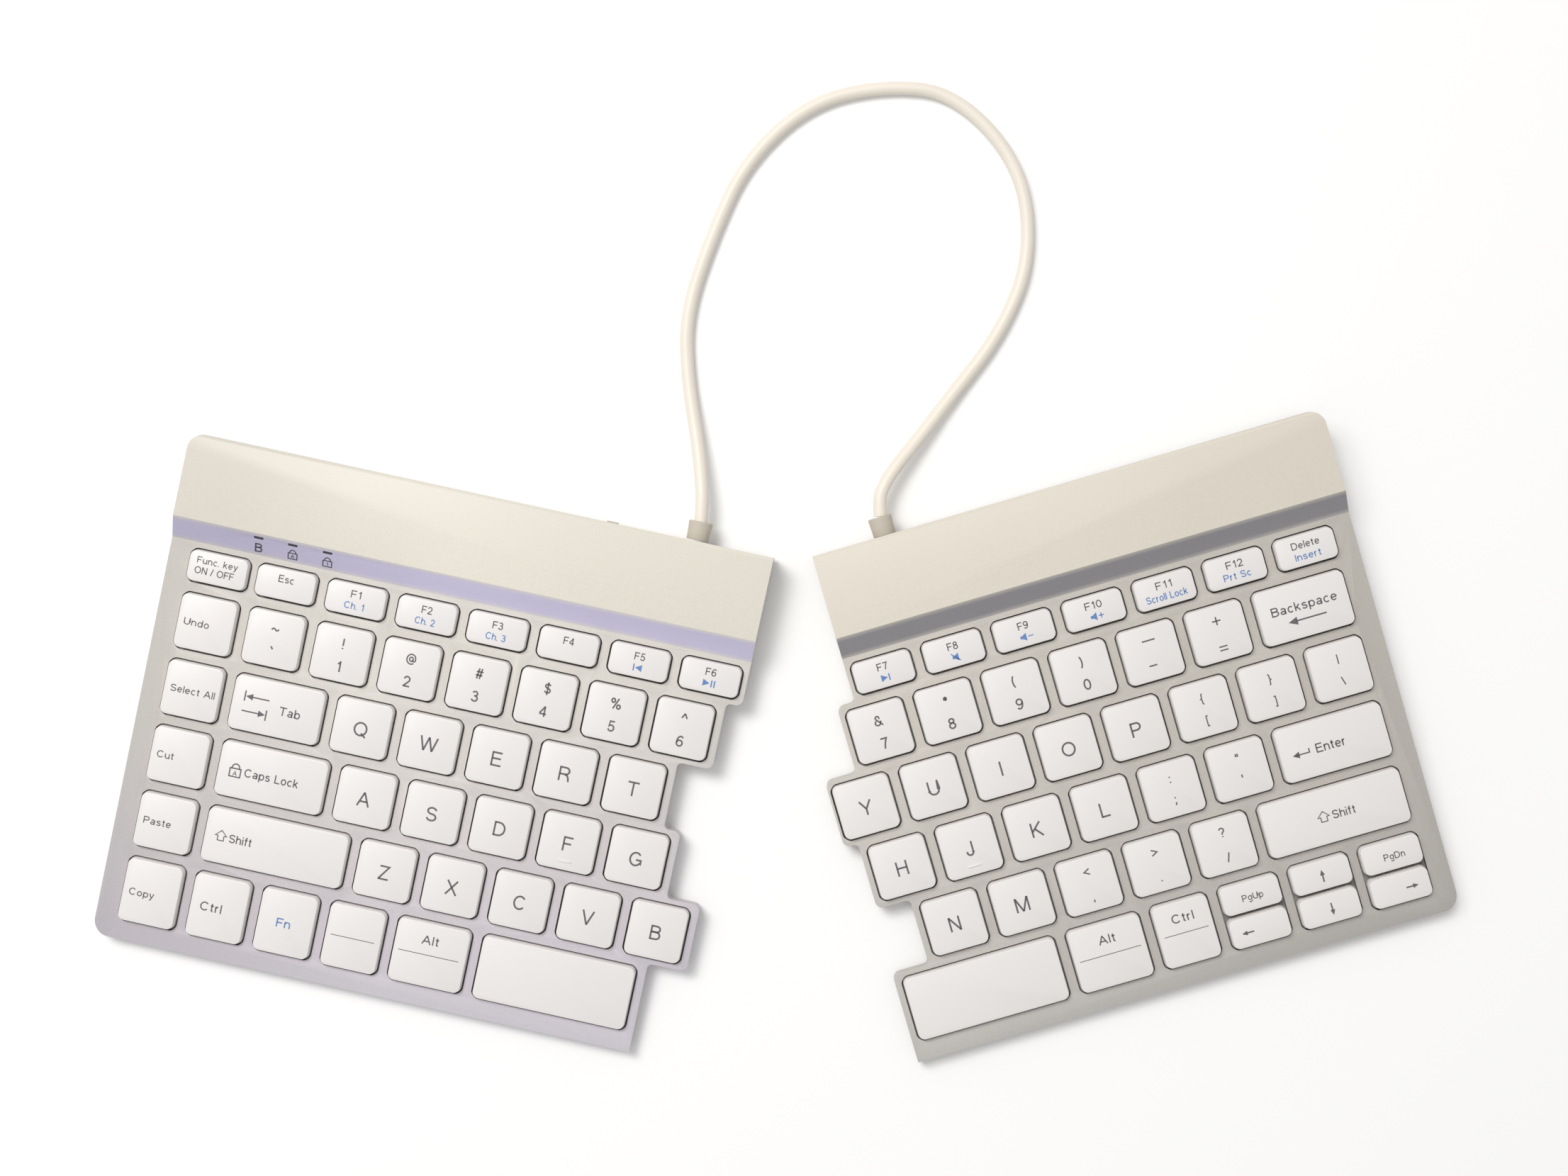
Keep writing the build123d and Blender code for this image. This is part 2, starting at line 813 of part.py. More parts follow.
def strain_relief(x):
    """Moulded collar where the cable leaves a half, with a neck and an inner flange."""
    neck_length = side_wall + 2 * relief_gap
    growth = relief_root_radius - relief_tip_radius
    cone_face = RegularPolygon(relief_root_radius, relief_sides)
    cone = tapered(cone_face, relief_gap, relief_length, growth)
    neck = extrude(RegularPolygon(relief_neck_radius, relief_sides), -neck_length)
    flange = extrude(RegularPolygon(relief_flange_radius, relief_sides), -relief_flange_length)
    body = cone + Pos(0, 0, relief_gap) * neck + Pos(0, 0, relief_gap - neck_length) * flange
    return Pos(x, rear_y, cable_rise) * Rot(-90, 0, 0) * body


def half_plan(seam, outer_x):
    corners, kinds = half_outline(seam, outer_x, 0, rear_y, front_y)
    radii = {
        "outer": outer_corner_radius,
        "outside": step_outer_radius,
        "inside": step_inner_radius,
    }
    return rounded_plan(corners, kinds, radii)


def half_places():
    """Where the first number key of each half lies, with the whole centred at zero."""
    left_corner = Vector(left_seam[0], rear_y).rotate(Axis.Z, left_turn)
    right_corner = Vector(right_seam[0], rear_y).rotate(Axis.Z, right_turn)
    apart = left_corner + Vector(rear_corner_across, rear_corner_behind) - right_corner
    left_box = (Rot(0, 0, left_turn) * half_plan(left_seam, left_outer_x)).bounding_box()
    right_shape = Pos(apart.X, apart.Y) * Rot(0, 0, right_turn)
    right_box = (right_shape * half_plan(right_seam, right_outer_x)).bounding_box()
    middle_x = (min(left_box.min.X, right_box.min.X) + max(left_box.max.X, right_box.max.X)) / 2
    middle_y = (min(left_box.min.Y, right_box.min.Y) + max(left_box.max.Y, right_box.max.Y)) / 2
    left_spot = Vector(-middle_x, -middle_y)
    return left_spot, left_spot + apart


left_place, right_place = half_places()


def cable_end(place, turn, x, askew):
    """Where the cable meets a strain relief, and the way it leaves it, a little askew."""
    spot = Vector(x, rear_y + relief_length + cable_end_gap, cable_rise).rotate(Axis.Z, turn)
    out = Vector(0, 1, 0).rotate(Axis.Z, turn + askew)
    return spot + place, out


# The cable's route over the table from the left half to the right one, between its
# straight leads at the two strain reliefs.
cable_lie = cable_diameter / 2 + seat_gap
cable_route = [
    (-18.8, 69.2, 6.6),
    (-20.4, 80.2, 4.3),
    (-23.4, 98.6, cable_lie),
    (-23.6, 116.8, cable_lie),
    (-17.5, 138.9, cable_lie),
    (-8.3, 159.5, cable_lie),
    (9.3, 175.2, cable_lie),
    (30.8, 178.8, cable_lie),
    (50.5, 176.7, cable_lie),
    (68.9, 156.8, cable_lie),
    (71.6, 131.5, cable_lie),
    (62.8, 110.9, cable_lie),
    (48.9, 93.3, 2.3),
    (40.3, 82.0, 4.2),
    (33.1, 73.1, 6.2),
    (30.1, 67.7, 7.0),
]


def cable_points():
    start, leave_left = cable_end(left_place, left_turn, left_relief_place, left_cable_askew)
    end, leave_right = cable_end(right_place, right_turn, right_relief_place, right_cable_askew)
    lead_in = start + leave_left * left_cable_lead
    lead_out = end + leave_right * right_cable_lead
    return [start, lead_in] + [Vector(*p) for p in cable_route] + [lead_out, end]


def corner_radii(points):
    """The largest arc that each corner of the route has room for."""
    radii = []
    for before, corner, after in zip(points, points[1:], points[2:]):
        run_in = corner - before
        run_out = after - corner
        turn = radians(run_in.get_angle(run_out))
        radii.append(corner_share * min(run_in.length, run_out.length) / tan(turn / 2))
    return radii


def link_cable():
    """The cable as a tube along straight runs joined by tangent arcs."""
    points = cable_points()
    radii = corner_radii(points)
    path = FilletPolyline(*points, radius=radii)
    section = RegularPolygon(cable_diameter / 2, cable_sides)
    tube = sweep(Plane(origin=path @ 0, z_dir=path % 0) * section, path=path)
    share = tube.volume / (path.length * section.area)
    print("cable radii", [round(r, 1) for r in radii])
    print("cable length", round(path.length, 1), "volume against section by length", round(share, 4))
    return tube


def place_half(place, turn, shape):
    return Pos(place.X, place.Y) * Rot(0, 0, turn) * shape


def write(node, shape):
    """Saves a node: one solid, or a group of separate solids."""
    solids = []
    for piece in shape if isinstance(shape, list) else [shape]:
        solids += list(piece.solids())
    out = solids[0] if len(solids) == 1 else Compound(children=solids)
    export_step(out, "parts/" + node + ".step")


def write_caps(keys, place, turn):
    """Saves every cap, those of one group together."""
    nodes = {}
    for node, x, y, width, depth in keys:
        cap = place_half(place, turn, on_deck(x, y, key_cap(width, depth)))
        nodes.setdefault(node, []).append(cap)
    for node, caps in nodes.items():
        write(node, caps)


def main():
    os.makedirs("parts", exist_ok=True)
    left_cuts = [port_opening(), switch_slot()] + lens_tools()
    left_rests = board_rests(left_outer_x + 2 * boss_width, left_seam[0] - 2 * boss_width)
    right_low = right_seam[0] + screw_from_seam + 2 * boss_width
    right_rests = board_rests(right_low, right_low + battery_length - 2 * boss_width)
    left = {
        "left_top_case": top_case(1, left_keys, left_seam, left_outer_x, left_relief_place, left_cuts),
        "left_bottom_case": bottom_case(1, left_seam, left_outer_x) + left_rests,
        "left_key_plate": deck_sheet(left_seam, left_outer_x, plate_bottom, plate_thickness),
        "left_dome_membrane": membrane(left_keys, left_seam, left_outer_x),
        "left_scissor_frames": scissors(left_keys),
        "left_circuit_board": left_board(),
        "left_battery": battery(),
        "left_charging_port": charging_port(),
        "left_power_switch": power_switch(),
        "left_indicator_lenses": lenses(),
        "left_screws": screws(1, left_seam, left_outer_x),
        "left_feet": feet(1, left_seam, left_outer_x),
        "left_strain_relief": strain_relief(left_relief_place),
    }
    right = {
        "right_top_case": top_case(-1, right_keys, right_seam, right_outer_x, right_relief_place, []),
        "right_bottom_case": bottom_case(-1, right_seam, right_outer_x) + right_rests,
        "right_key_plate": deck_sheet(right_seam, right_outer_x, plate_bottom, plate_thickness),
        "right_dome_membrane": membrane(right_keys, right_seam, right_outer_x),
        "right_scissor_frames": scissors(right_keys),
        "right_circuit_board": right_board(),
        "right_screws": screws(-1, right_seam, right_outer_x),
        "right_feet": feet(-1, right_seam, right_outer_x),
        "right_strain_relief": strain_relief(right_relief_place),
    }
    for place, turn, nodes in ((left_place, left_turn, left), (right_place, right_turn, right)):
        for node, shape in nodes.items():
            pieces = shape if isinstance(shape, list) else [shape]
            write(node, [place_half(place, turn, piece) for piece in pieces])
    write_caps(left_keys, left_place, left_turn)
    write_caps(right_keys, right_place, right_turn)
    write("link_cable", link_cable())


main()
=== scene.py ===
import json
from math import atan, cos, radians, sin

import bmesh
import bpy
from mathutils import Matrix, Vector

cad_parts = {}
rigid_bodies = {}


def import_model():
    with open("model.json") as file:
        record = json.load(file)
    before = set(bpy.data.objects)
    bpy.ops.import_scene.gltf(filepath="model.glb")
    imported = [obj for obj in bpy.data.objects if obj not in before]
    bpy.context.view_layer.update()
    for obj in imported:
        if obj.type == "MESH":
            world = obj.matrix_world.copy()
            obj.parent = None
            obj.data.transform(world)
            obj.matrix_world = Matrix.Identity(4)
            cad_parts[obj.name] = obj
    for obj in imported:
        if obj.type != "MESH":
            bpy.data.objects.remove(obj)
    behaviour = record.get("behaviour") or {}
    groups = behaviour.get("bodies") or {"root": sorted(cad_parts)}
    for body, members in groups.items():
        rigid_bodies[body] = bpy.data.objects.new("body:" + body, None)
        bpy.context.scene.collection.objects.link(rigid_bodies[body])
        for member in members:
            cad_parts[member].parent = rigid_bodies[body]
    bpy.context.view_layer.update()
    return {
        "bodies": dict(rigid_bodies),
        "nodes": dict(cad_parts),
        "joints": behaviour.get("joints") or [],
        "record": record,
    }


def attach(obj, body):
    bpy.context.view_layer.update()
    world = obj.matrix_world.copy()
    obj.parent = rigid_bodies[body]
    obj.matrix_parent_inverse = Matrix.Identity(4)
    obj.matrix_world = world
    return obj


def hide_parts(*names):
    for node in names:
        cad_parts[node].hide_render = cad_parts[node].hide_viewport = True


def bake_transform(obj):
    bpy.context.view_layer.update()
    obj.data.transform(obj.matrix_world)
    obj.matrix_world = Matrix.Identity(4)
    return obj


move = Matrix.Translation

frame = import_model()

MM = 0.001

# The two halves of the keyboard: where the first number key lies, and the turn
DECK_TILT = radians(2.03)
DECK_HEIGHT = 8.792
HALVES = {
    "left": ((-154.041, 31.162), radians(-12.25)),
    "right": ((29.819, 2.38), radians(16.29)),
}
KEY_PITCH = 19.0
ROW_PITCH = 18.58
FUNCTION_PITCH = 19.74
FUNCTION_ROW_Y = 15.315
FRONT_ROW_Y = -75.555
CAP_WIDTH = 15.35
CAP_DEPTH = 14.83
FUNCTION_CAP = (16.1, 8.3)
FRONT_DEPTH = 17.3
LEFT_FUNCTION = [0.25, 19.25] + [38.85 + i * FUNCTION_PITCH for i in range(6)]
RIGHT_FUNCTION = [5.25 + i * FUNCTION_PITCH for i in range(7)]
LEFT_SPACE = 113.27
RIGHT_SPACE = 7.95
SPACE_WIDTH = 42.35
RIGHT_ALT = 42.95
RIGHT_CONTROL = 64.35
ARROWS = [83.8 + i * FUNCTION_PITCH for i in range(3)]
HALF_KEYS = ((-70.855, 7.9), (-80.205, 8.0))
WELL_REACH = 0.65
SLOPE_FOOT = (21.615, 9.558)
SLOPE_TOP = (27.515, 13.2)
CAP_TOP = 2.0
CAP_WALL = 1.0
CAP_ROOF = 1.1
CAP_HEIGHT = 2.9
CAP_DRAFT = 0.25
CAP_ROUNDING = 1.75
CAP_EASING = 0.2


def deselect():
    bpy.ops.object.select_all(action="DESELECT")


def only(obj):
    """Makes the object the one that operators act on."""
    deselect()
    obj.select_set(True)
    bpy.context.view_layer.objects.active = obj


def active():
    return bpy.context.view_layer.objects.active


def mode(name):
    bpy.ops.object.mode_set(mode=name)


def linked(name, data):
    """A new object in the scene."""
    obj = bpy.data.objects.new(name, data)
    bpy.context.collection.objects.link(obj)
    return obj


def bevel(size, segments, **more):
    bpy.ops.mesh.bevel(offset=size, segments=segments, affect="EDGES", **more)


def smooth_below(angle):
    bpy.ops.object.shade_smooth_by_angle(angle=angle)


def half_matrix(half):
    """From a half's deck frame in millimetres to the row frame in metres."""
    (x, y), turn = HALVES[half]
    place = move((x * MM, y * MM, DECK_HEIGHT * MM))
    return place @ Matrix.Rotation(turn, 4, "Z") @ Matrix.Rotation(DECK_TILT, 4, "X") @ Matrix.Scale(MM, 4)


def flat_matrix(half):
    """The same for what lies level with the table, with zero height on the table."""
    (x, y), turn = HALVES[half]
    return move((x * MM, y * MM, 0)) @ Matrix.Rotation(turn, 4, "Z") @ Matrix.Scale(MM, 4)


# Materials

def linear(hex_colour):
    """An sRGB hex colour as the linear values that a shader takes."""
    out = []
    for i in (0, 2, 4):
        c = int(hex_colour[i:i + 2], 16) / 255
        out.append(c / 12.92 if c <= 0.04045 else ((c + 0.055) / 1.055) ** 2.4)
    return (*out, 1.0)


def node(tree, kind, settings=None, **links):
    """Adds a node, gives it its settings and inputs, and links what is a socket."""
    n = tree.nodes.new("ShaderNode" + kind)
    for key, value in (settings or {}).items():
        setattr(n, key, value)
    for key, value in links.items():
        place = int(key[1:]) if key[0] == "i" and key[1:].isdigit() else key.replace("_", " ")
        socket = n.inputs[place]
        if isinstance(value, bpy.types.NodeSocket):
            tree.links.new(value, socket)
        else:
            socket.default_value = value
    return n


def spread(tree, value, low=0.0, high=1.0, to_low=0.0, to_high=1.0, smooth=False):
    """Takes the values from low to high to another range, evenly or eased at its ends."""
    n = node(tree, "MapRange", {"interpolation_type": "SMOOTHSTEP"} if smooth else None, Value=value)
    for name, level in (("From Min", low), ("From Max", high), ("To Min", to_low), ("To Max", to_high)):
        n.inputs[name].default_value = level
    return n.outputs["Result"]


def mixed(tree, share, first, second):
    """A colour between two others."""
    return node(tree, "Mix", {"data_type": "RGBA"}, i0=share, i6=first, i7=second).outputs[2]


def scaled(tree, colour, share):
    """A colour made darker or lighter by this share."""
    return node(tree, "VectorMath", {"operation": "SCALE"}, i0=colour, Scale=share).outputs["Vector"]


def object_place(tree):
    """The spot on the surface in metres, in the row frame."""
    return node(tree, "TexCoord").outputs["Object"]


def new_material(name, colour, roughness, ior=1.5, metallic=0.0):
    """A material with its shader's plain values. Returns it with its tree and shader."""
    material = bpy.data.materials.new(name)
    material.use_nodes = True
    tree = material.node_tree
    shader = tree.nodes["Principled BSDF"]
    shader.inputs["Base Color"].default_value = linear(colour)
    shader.inputs["Roughness"].default_value = roughness
    shader.inputs["Metallic"].default_value = metallic
    if not metallic:
        shader.inputs["IOR"].default_value = ior
    material.diffuse_color = linear(colour)
    return material, tree, shader


def grain(tree, shader, size_mm, bump_mm, rough_low, rough_high, light, dark, mottle_mm=38.0):
    """Fine surface grain: colour clouds, an uneven gloss and a slight bump on Object coordinates."""
    place = object_place(tree)
    fine = node(tree, "TexNoise", Vector=place, Scale=1 / (size_mm * MM), Detail=3.0, Roughness=0.55)
    wide = node(tree, "TexNoise", Vector=place, Scale=1 / (mottle_mm * MM), Detail=2.0, Roughness=0.5)
    tone = mixed(tree, wide.outputs["Fac"], linear(dark), linear(light))
    tree.links.new(tone, shader.inputs["Base Color"])
    gloss = spread(tree, fine.outputs["Fac"], to_low=rough_low, to_high=rough_high)
    tree.links.new(gloss, shader.inputs["Roughness"])
    bump = node(tree, "Bump", Height=fine.outputs["Fac"], Strength=0.35, Distance=bump_mm * MM)
    tree.links.new(bump.outputs["Normal"], shader.inputs["Normal"])


# ABS sprayed with a pearl silver-beige paint: satin with a faint metallic sparkle,
# lighter and warmer on the raised housing than on the deck round the keys, with painted shade towards the
# outer ends.
SLOPE_FOOT_HEIGHT = SLOPE_FOOT[1] * MM
SLOPE_TOP_HEIGHT = SLOPE_TOP[1] * MM
PAINT_ROUGHNESS = 0.42
PAINT_IOR = 1.46
FLAKE_SIZE = 0.45
FLAKE_RELIEF = 0.015
CLOUD_SIZE = 42.0
# Where the painted shade at the left half's outer end starts and ends, in millimetres along x
OUTER_SHADE_SPAN = (-150, -80)
DECK_FADE = (-75, 25)


def height_ramp(tree, place, stops):
    """Colours by height above the table: a list of heights in metres and colours."""
    split = node(tree, "SeparateXYZ", Vector=place)
    low, high = stops[0][0], stops[-1][0]
    ramp = node(tree, "ValToRGB", Fac=spread(tree, split.outputs["Z"], low, high))
    ramp.color_ramp.interpolation = "EASE"
    for i, (level, colour) in enumerate(stops):
        share = (level - low) / (high - low)
        stop = ramp.color_ramp.elements[i] if i < 2 else ramp.color_ramp.elements.new(share)
        stop.position = share
        stop.color = linear(colour)
    return ramp.outputs["Color"], split


def paint_sparkle(tree, shader, colour, place):
    """The paint's flakes: fine light and dark specks, and broad soft clouds."""
    flakes = node(tree, "TexNoise", Vector=place, Scale=1 / (FLAKE_SIZE * MM), Detail=2.0, Roughness=0.7)
    level = spread(tree, flakes.outputs["Fac"], 0.3, 0.7, 0.955, 1.03)
    clouds = node(tree, "TexNoise", Vector=place, Scale=1 / (CLOUD_SIZE * MM), Detail=2.0)
    cloud = spread(tree, clouds.outputs["Fac"], to_low=0.97, to_high=1.03)
    both = node(tree, "Math", {"operation": "MULTIPLY"}, i0=level, i1=cloud)
    tree.links.new(scaled(tree, colour, both.outputs["Value"]), shader.inputs["Base Color"])
    gloss = spread(tree, flakes.outputs["Fac"], to_low=0.36, to_high=0.5)
    tree.links.new(gloss, shader.inputs["Roughness"])
    bump = node(tree, "Bump", Height=flakes.outputs["Fac"], Strength=0.3, Distance=FLAKE_RELIEF * MM)
    tree.links.new(bump.outputs["Normal"], shader.inputs["Normal"])


def outer_painted_shade(tree, split, tone):
    """One over most of the left half, and this tone towards its outer end: a painted shade."""
    start, end = (x * MM for x in OUTER_SHADE_SPAN)
    return spread(tree, split.outputs["X"], start, end, tone, smooth=True)


def painted_case(name, housing, deck, front, inner, outer, outer_shade_tone, housing_shade_tone):
    """The paint of one half: its deck darkens to the front, and painted shade darkens the deck to its outer
    side and the left housing to its outer end.
    """
    material, tree, shader = new_material(name, deck, PAINT_ROUGHNESS, PAINT_IOR)
    place = object_place(tree)
    split = node(tree, "SeparateXYZ", Vector=place)
    start, end = (y * MM for y in DECK_FADE)
    along = spread(tree, split.outputs["Y"], start, end, smooth=True)
    # Painted shade: the deck darkens towards the half's outer side.
    across = spread(tree, split.outputs["X"], inner * MM, outer * MM, 1.0, outer_shade_tone)
    near = scaled(tree, mixed(tree, along, linear(front), linear(deck)), across)
    # Painted shade on the housing towards the left half's outer end.
    far = scaled(tree, linear(housing)[:3], outer_painted_shade(tree, split, housing_shade_tone))
    rise = spread(tree, split.outputs["Z"], SLOPE_FOOT_HEIGHT, SLOPE_TOP_HEIGHT, smooth=True)
    paint_sparkle(tree, shader, mixed(tree, rise, near, far), place)
    return material


# The last two values set the painted shade at the deck's outer side and at the housing's outer end.
case_left = painted_case("painted_abs_left_case", "e9e3d7", "dbd7d0", "cfc9d2", -110, -186, 0.82, 0.88)
case_right = painted_case("painted_abs_right_case", "e4ddd0", "d4cfc7", "c8c4bf", 30, 184, 0.79, 1.0)


# The slope between deck and housing carries a painted reflection: a lilac side light on the left half
# and a dark one on the right half. Both fade into the paint at its foot and its brow.
def slope_painted_reflection(name, foot, tone, brow, fade):
    material, tree, shader = new_material(name, tone, PAINT_ROUGHNESS, PAINT_IOR)
    place = object_place(tree)
    rise = SLOPE_TOP_HEIGHT - SLOPE_FOOT_HEIGHT
    levels = (0.0, 0.06 + fade, 0.5, 0.94 - fade, 1.0)
    tones = (foot, tone, tone, tone, brow)
    stops = [(SLOPE_FOOT_HEIGHT + share * rise, c) for share, c in zip(levels, tones)]
    colour, split = height_ramp(tree, place, stops)
    # Painted shade darkens the slope towards the left half's outer end.
    paint_sparkle(tree, shader, scaled(tree, colour, outer_painted_shade(tree, split, 0.8)), place)
    return material


# The middle tone of each slope is the painted reflection.
slope_reflection_left = slope_painted_reflection("painted_abs_left_slope", "d5d1d5", "cdc8e2", "dfdad9", 0.14)
slope_reflection_right = slope_painted_reflection("painted_abs_right_slope", "b4b0ad", "939195", "b9b5af", 0.16)


def grained(name, colour, roughness, ior, *surface):
    """A material with a fine surface grain, from its plain values and those of the grain."""
    material, tree, shader = new_material(name, colour, roughness, ior)
    grain(tree, shader, *surface)
    return material


# ABS moulded in grey-beige with a fine spark-eroded texture: quite matt.
bottom_plastic = grained(
    "moulded_abs_bottom_case", "b9b4ac", 0.6, 1.5, 0.5, 0.04, 0.55, 0.7, "bcb7af", "b3aea7"
)

# PBT caps moulded in warm white: satin, with a very fine even grain.
cap_plastic = grained(
    "moulded_pbt_key_caps", "f0ecea", 0.42, 1.5, 0.4, 0.012, 0.36, 0.48, "f2eeec", "eeeae8", 24.0
)

# Grey and blue pad-printed ink, slightly uneven where it took to the cap.
grey_ink = grained("printed_grey_ink", "69666b", 0.5, 1.5, 0.3, 0.005, 0.45, 0.6, "6f6c71", "636065", 3.0)
blue_ink = grained("printed_blue_ink", "658ac6", 0.5, 1.5, 0.3, 0.005, 0.45, 0.6, "6d92cb", "5e83c0", 3.0)
dark_ink = grained("printed_dark_ink", "4e4a55", 0.5, 1.5, 0.3, 0.005, 0.45, 0.6, "524e59", "4a4651", 3.0)

# Painted shade: the well walls seen in the gaps round the caps, coloured as moulded ABS in shadow.
well_painted_shade = grained(
    "moulded_abs_well_liner", "5c5751", 0.55, 1.5, 0.5, 0.02, 0.5, 0.65, "5f5a54", "57524d"
)

# PVC jacket of the cable: smooth, ivory, a little glossier than the plastic.
cable_pvc = grained(
    "extruded_pvc_cable_jacket", "f6eee1", 0.42, 1.52, 0.8, 0.01, 0.38, 0.48, "f8f0e3", "f2eadc", 12.0
)

# TPE strain relief, moulded in grey-beige over the cable: matt and soft.
relief_tpe = grained(
    "moulded_tpe_strain_relief", "c9c1b3", 0.6, 1.5, 0.5, 0.02, 0.55, 0.7, "cdc5b7", "c3bbad", 6.0
)

# Stamped steel: plate, screws and the port's shell, with faint rolling lines.
steel, tree, shader = new_material("stamped_steel", "c2c3c4", 0.35, metallic=1.0)
place = object_place(tree)
lines = node(tree, "Mapping", Vector=place)
lines.inputs["Scale"].default_value = (40.0, 2500.0, 40.0)
rolled = node(tree, "TexNoise", Vector=lines.outputs["Vector"], Scale=1.0, Detail=2.0)
tree.links.new(spread(tree, rolled.outputs["Fac"], to_low=0.28, to_high=0.42), shader.inputs["Roughness"])

# Silicone rubber membrane: milky and soft.
silicone = grained(
    "moulded_silicone_membrane", "c9c8c4", 0.5, 1.43, 0.6, 0.01, 0.45, 0.6, "cccbc7", "c4c3bf"
)
# POM scissor frames: white and slightly waxy.
acetal = grained("moulded_acetal_scissors", "e6e5e2", 0.35, 1.48, 0.5, 0.01, 0.3, 0.42, "e8e7e4", "e1e0dd")
# Glass-epoxy board under a green solder mask.
board_epoxy = grained("solder_masked_board", "1f6b45", 0.35, 1.55, 0.7, 0.02, 0.3, 0.45, "22714a", "1b6340")
# Foil-wrapped cell.
cell_wrap = grained("foil_wrapped_cell", "9ea3ab", 0.4, 1.5, 1.2, 0.05, 0.35, 0.5, "a3a8b0", "979ca4")
# Silicone rubber feet: dark grey, matt.
foot_rubber = grained("moulded_rubber_feet", "55565a", 0.75, 1.5, 0.5, 0.05, 0.7, 0.82, "595a5e", "505155")
# Clear polycarbonate light guides, unlit, over a dark board.
light_guide = grained(
    "smoked_polycarbonate_light_guides", "3b3740", 0.2, 1.58, 0.8, 0.005, 0.16, 0.26, "403c45",
    "37333c", 3.0
)
# Switch knob: greige ABS, moulded with a fine texture.
knob_plastic = grained(
    "moulded_abs_switch_knob", "c4bdb1", 0.5, 1.5, 0.4, 0.02, 0.45, 0.58, "c8c1b5", "bfb8ac"
)


def paint(obj, material):
    obj.data.materials.clear()
    obj.data.materials.append(material)


nodes = frame["nodes"]
finishes = {
    "bottom_case": bottom_plastic, "key_plate": steel, "dome_membrane": silicone,
    "scissor_frames": acetal, "circuit_board": board_epoxy, "battery": cell_wrap,
    "charging_port": steel, "power_switch": knob_plastic, "indicator_lenses": light_guide,
    "screws": steel, "feet": foot_rubber, "strain_relief": relief_tpe,
}
for name, obj in nodes.items():
    if name.startswith("key"):
        paint(obj, cap_plastic)
    elif name == "link_cable":
        paint(obj, cable_pvc)
    elif name.endswith("top_case"):
        paint(obj, case_left if name.startswith("left") else case_right)
    else:
        paint(obj, next(m for end, m in finishes.items() if name.endswith(end)))


# The top cases: a clean copy of each solid with rounded wells and eased edges

def cad_copy(node_name, name):
    """A copy of a CAD piece, free to be reshaped."""
    only(nodes[node_name])
    bpy.ops.object.duplicate()
    copy = active()
    copy.name = name
    bpy.ops.object.parent_clear(type="CLEAR_KEEP_TRANSFORM")
    return copy


def edge_angle(edge):
    return edge.calc_face_angle(0.0)


def select_edges(mesh_object, choose):
    """Selects in edit mode the edges that choose picks."""
    bm = bmesh.from_edit_mesh(mesh_object.data)
    bpy.ops.mesh.select_mode(type="EDGE")
    bpy.ops.mesh.select_all(action="DESELECT")
    for e in bm.edges:
        if choose(e):
            e.select_set(True)
    bmesh.update_edit_mesh(mesh_object.data)


CORNER_RADIUS = 4.5
CORNER_WALL = 0.8
CORNER_SINK = 0.04
CORNER_TURNS = range(10, 81, 5)
BELOW_HOUSING_TOP = 1.0
BELOW_DECK = 0.6
MERGE_DISTANCE = 0.002
FLAT_WITHIN = radians(0.6)
WELL_ROUNDING = 0.6
EDGE_EASING = 0.3
SHARP_ANGLE = radians(28)


def corner_wall(bm, half, corner, inward, low, high):
    """A curved wall behind a rounded outer corner, all in the half's level frame."""
    frame = flat_matrix(half)
    centre = (corner[0] + inward[0] * CORNER_RADIUS, corner[1] + inward[1] * CORNER_RADIUS)
    turns = [radians(turn) for turn in CORNER_TURNS]
    rings = []
    for radius in (CORNER_RADIUS - CORNER_SINK, CORNER_RADIUS - CORNER_WALL):
        reach = (inward[0] * radius, inward[1] * radius)
        spots = [(centre[0] - reach[0] * cos(t), centre[1] - reach[1] * sin(t)) for t in turns]
        rings += [[bm.verts.new(frame @ Vector((x, y, z))) for x, y in spots] for z in (low, high)]
    outer_low, outer_high, inner_low, inner_high = rings
    rings_in_turn = [outer_low, outer_high, inner_high, inner_low]
    faces = []
    for i in range(len(turns) - 1):
        for a, b in zip(rings_in_turn, rings_in_turn[1:] + rings_in_turn[:1]):
            faces.append(bm.faces.new((a[i], a[i + 1], b[i + 1], b[i])))
    for i in (0, -1):
        faces.append(bm.faces.new([ring[i] for ring in rings_in_turn]))
    bmesh.ops.recalc_face_normals(bm, faces=faces)


def close_corners(case, half):
    """Walls for the outer corners, where the hollow's square corners pass their rounding."""
    level = flat_matrix(half).inverted()
    spots = [level @ v.co for v in case.data.vertices]
    inward = 1 if half == "left" else -1
    outer = inward * min(inward * spot.x for spot in spots)
    rear = max(spot.y for spot in spots)
    front = min(spot.y for spot in spots)
    low = min(spot.z for spot in spots) + CORNER_SINK
    top = max(spot.z for spot in spots) - BELOW_HOUSING_TOP
    deck = (half_matrix(half) @ Vector((outer, front, 0))).z / MM - BELOW_DECK
    bm = bmesh.new()
    bm.from_mesh(case.data)
    corner_wall(bm, half, (outer, rear), (inward, -1), low, top)
    corner_wall(bm, half, (outer, front), (inward, 1), low, deck)
    bm.to_mesh(case.data)
    bm.free()


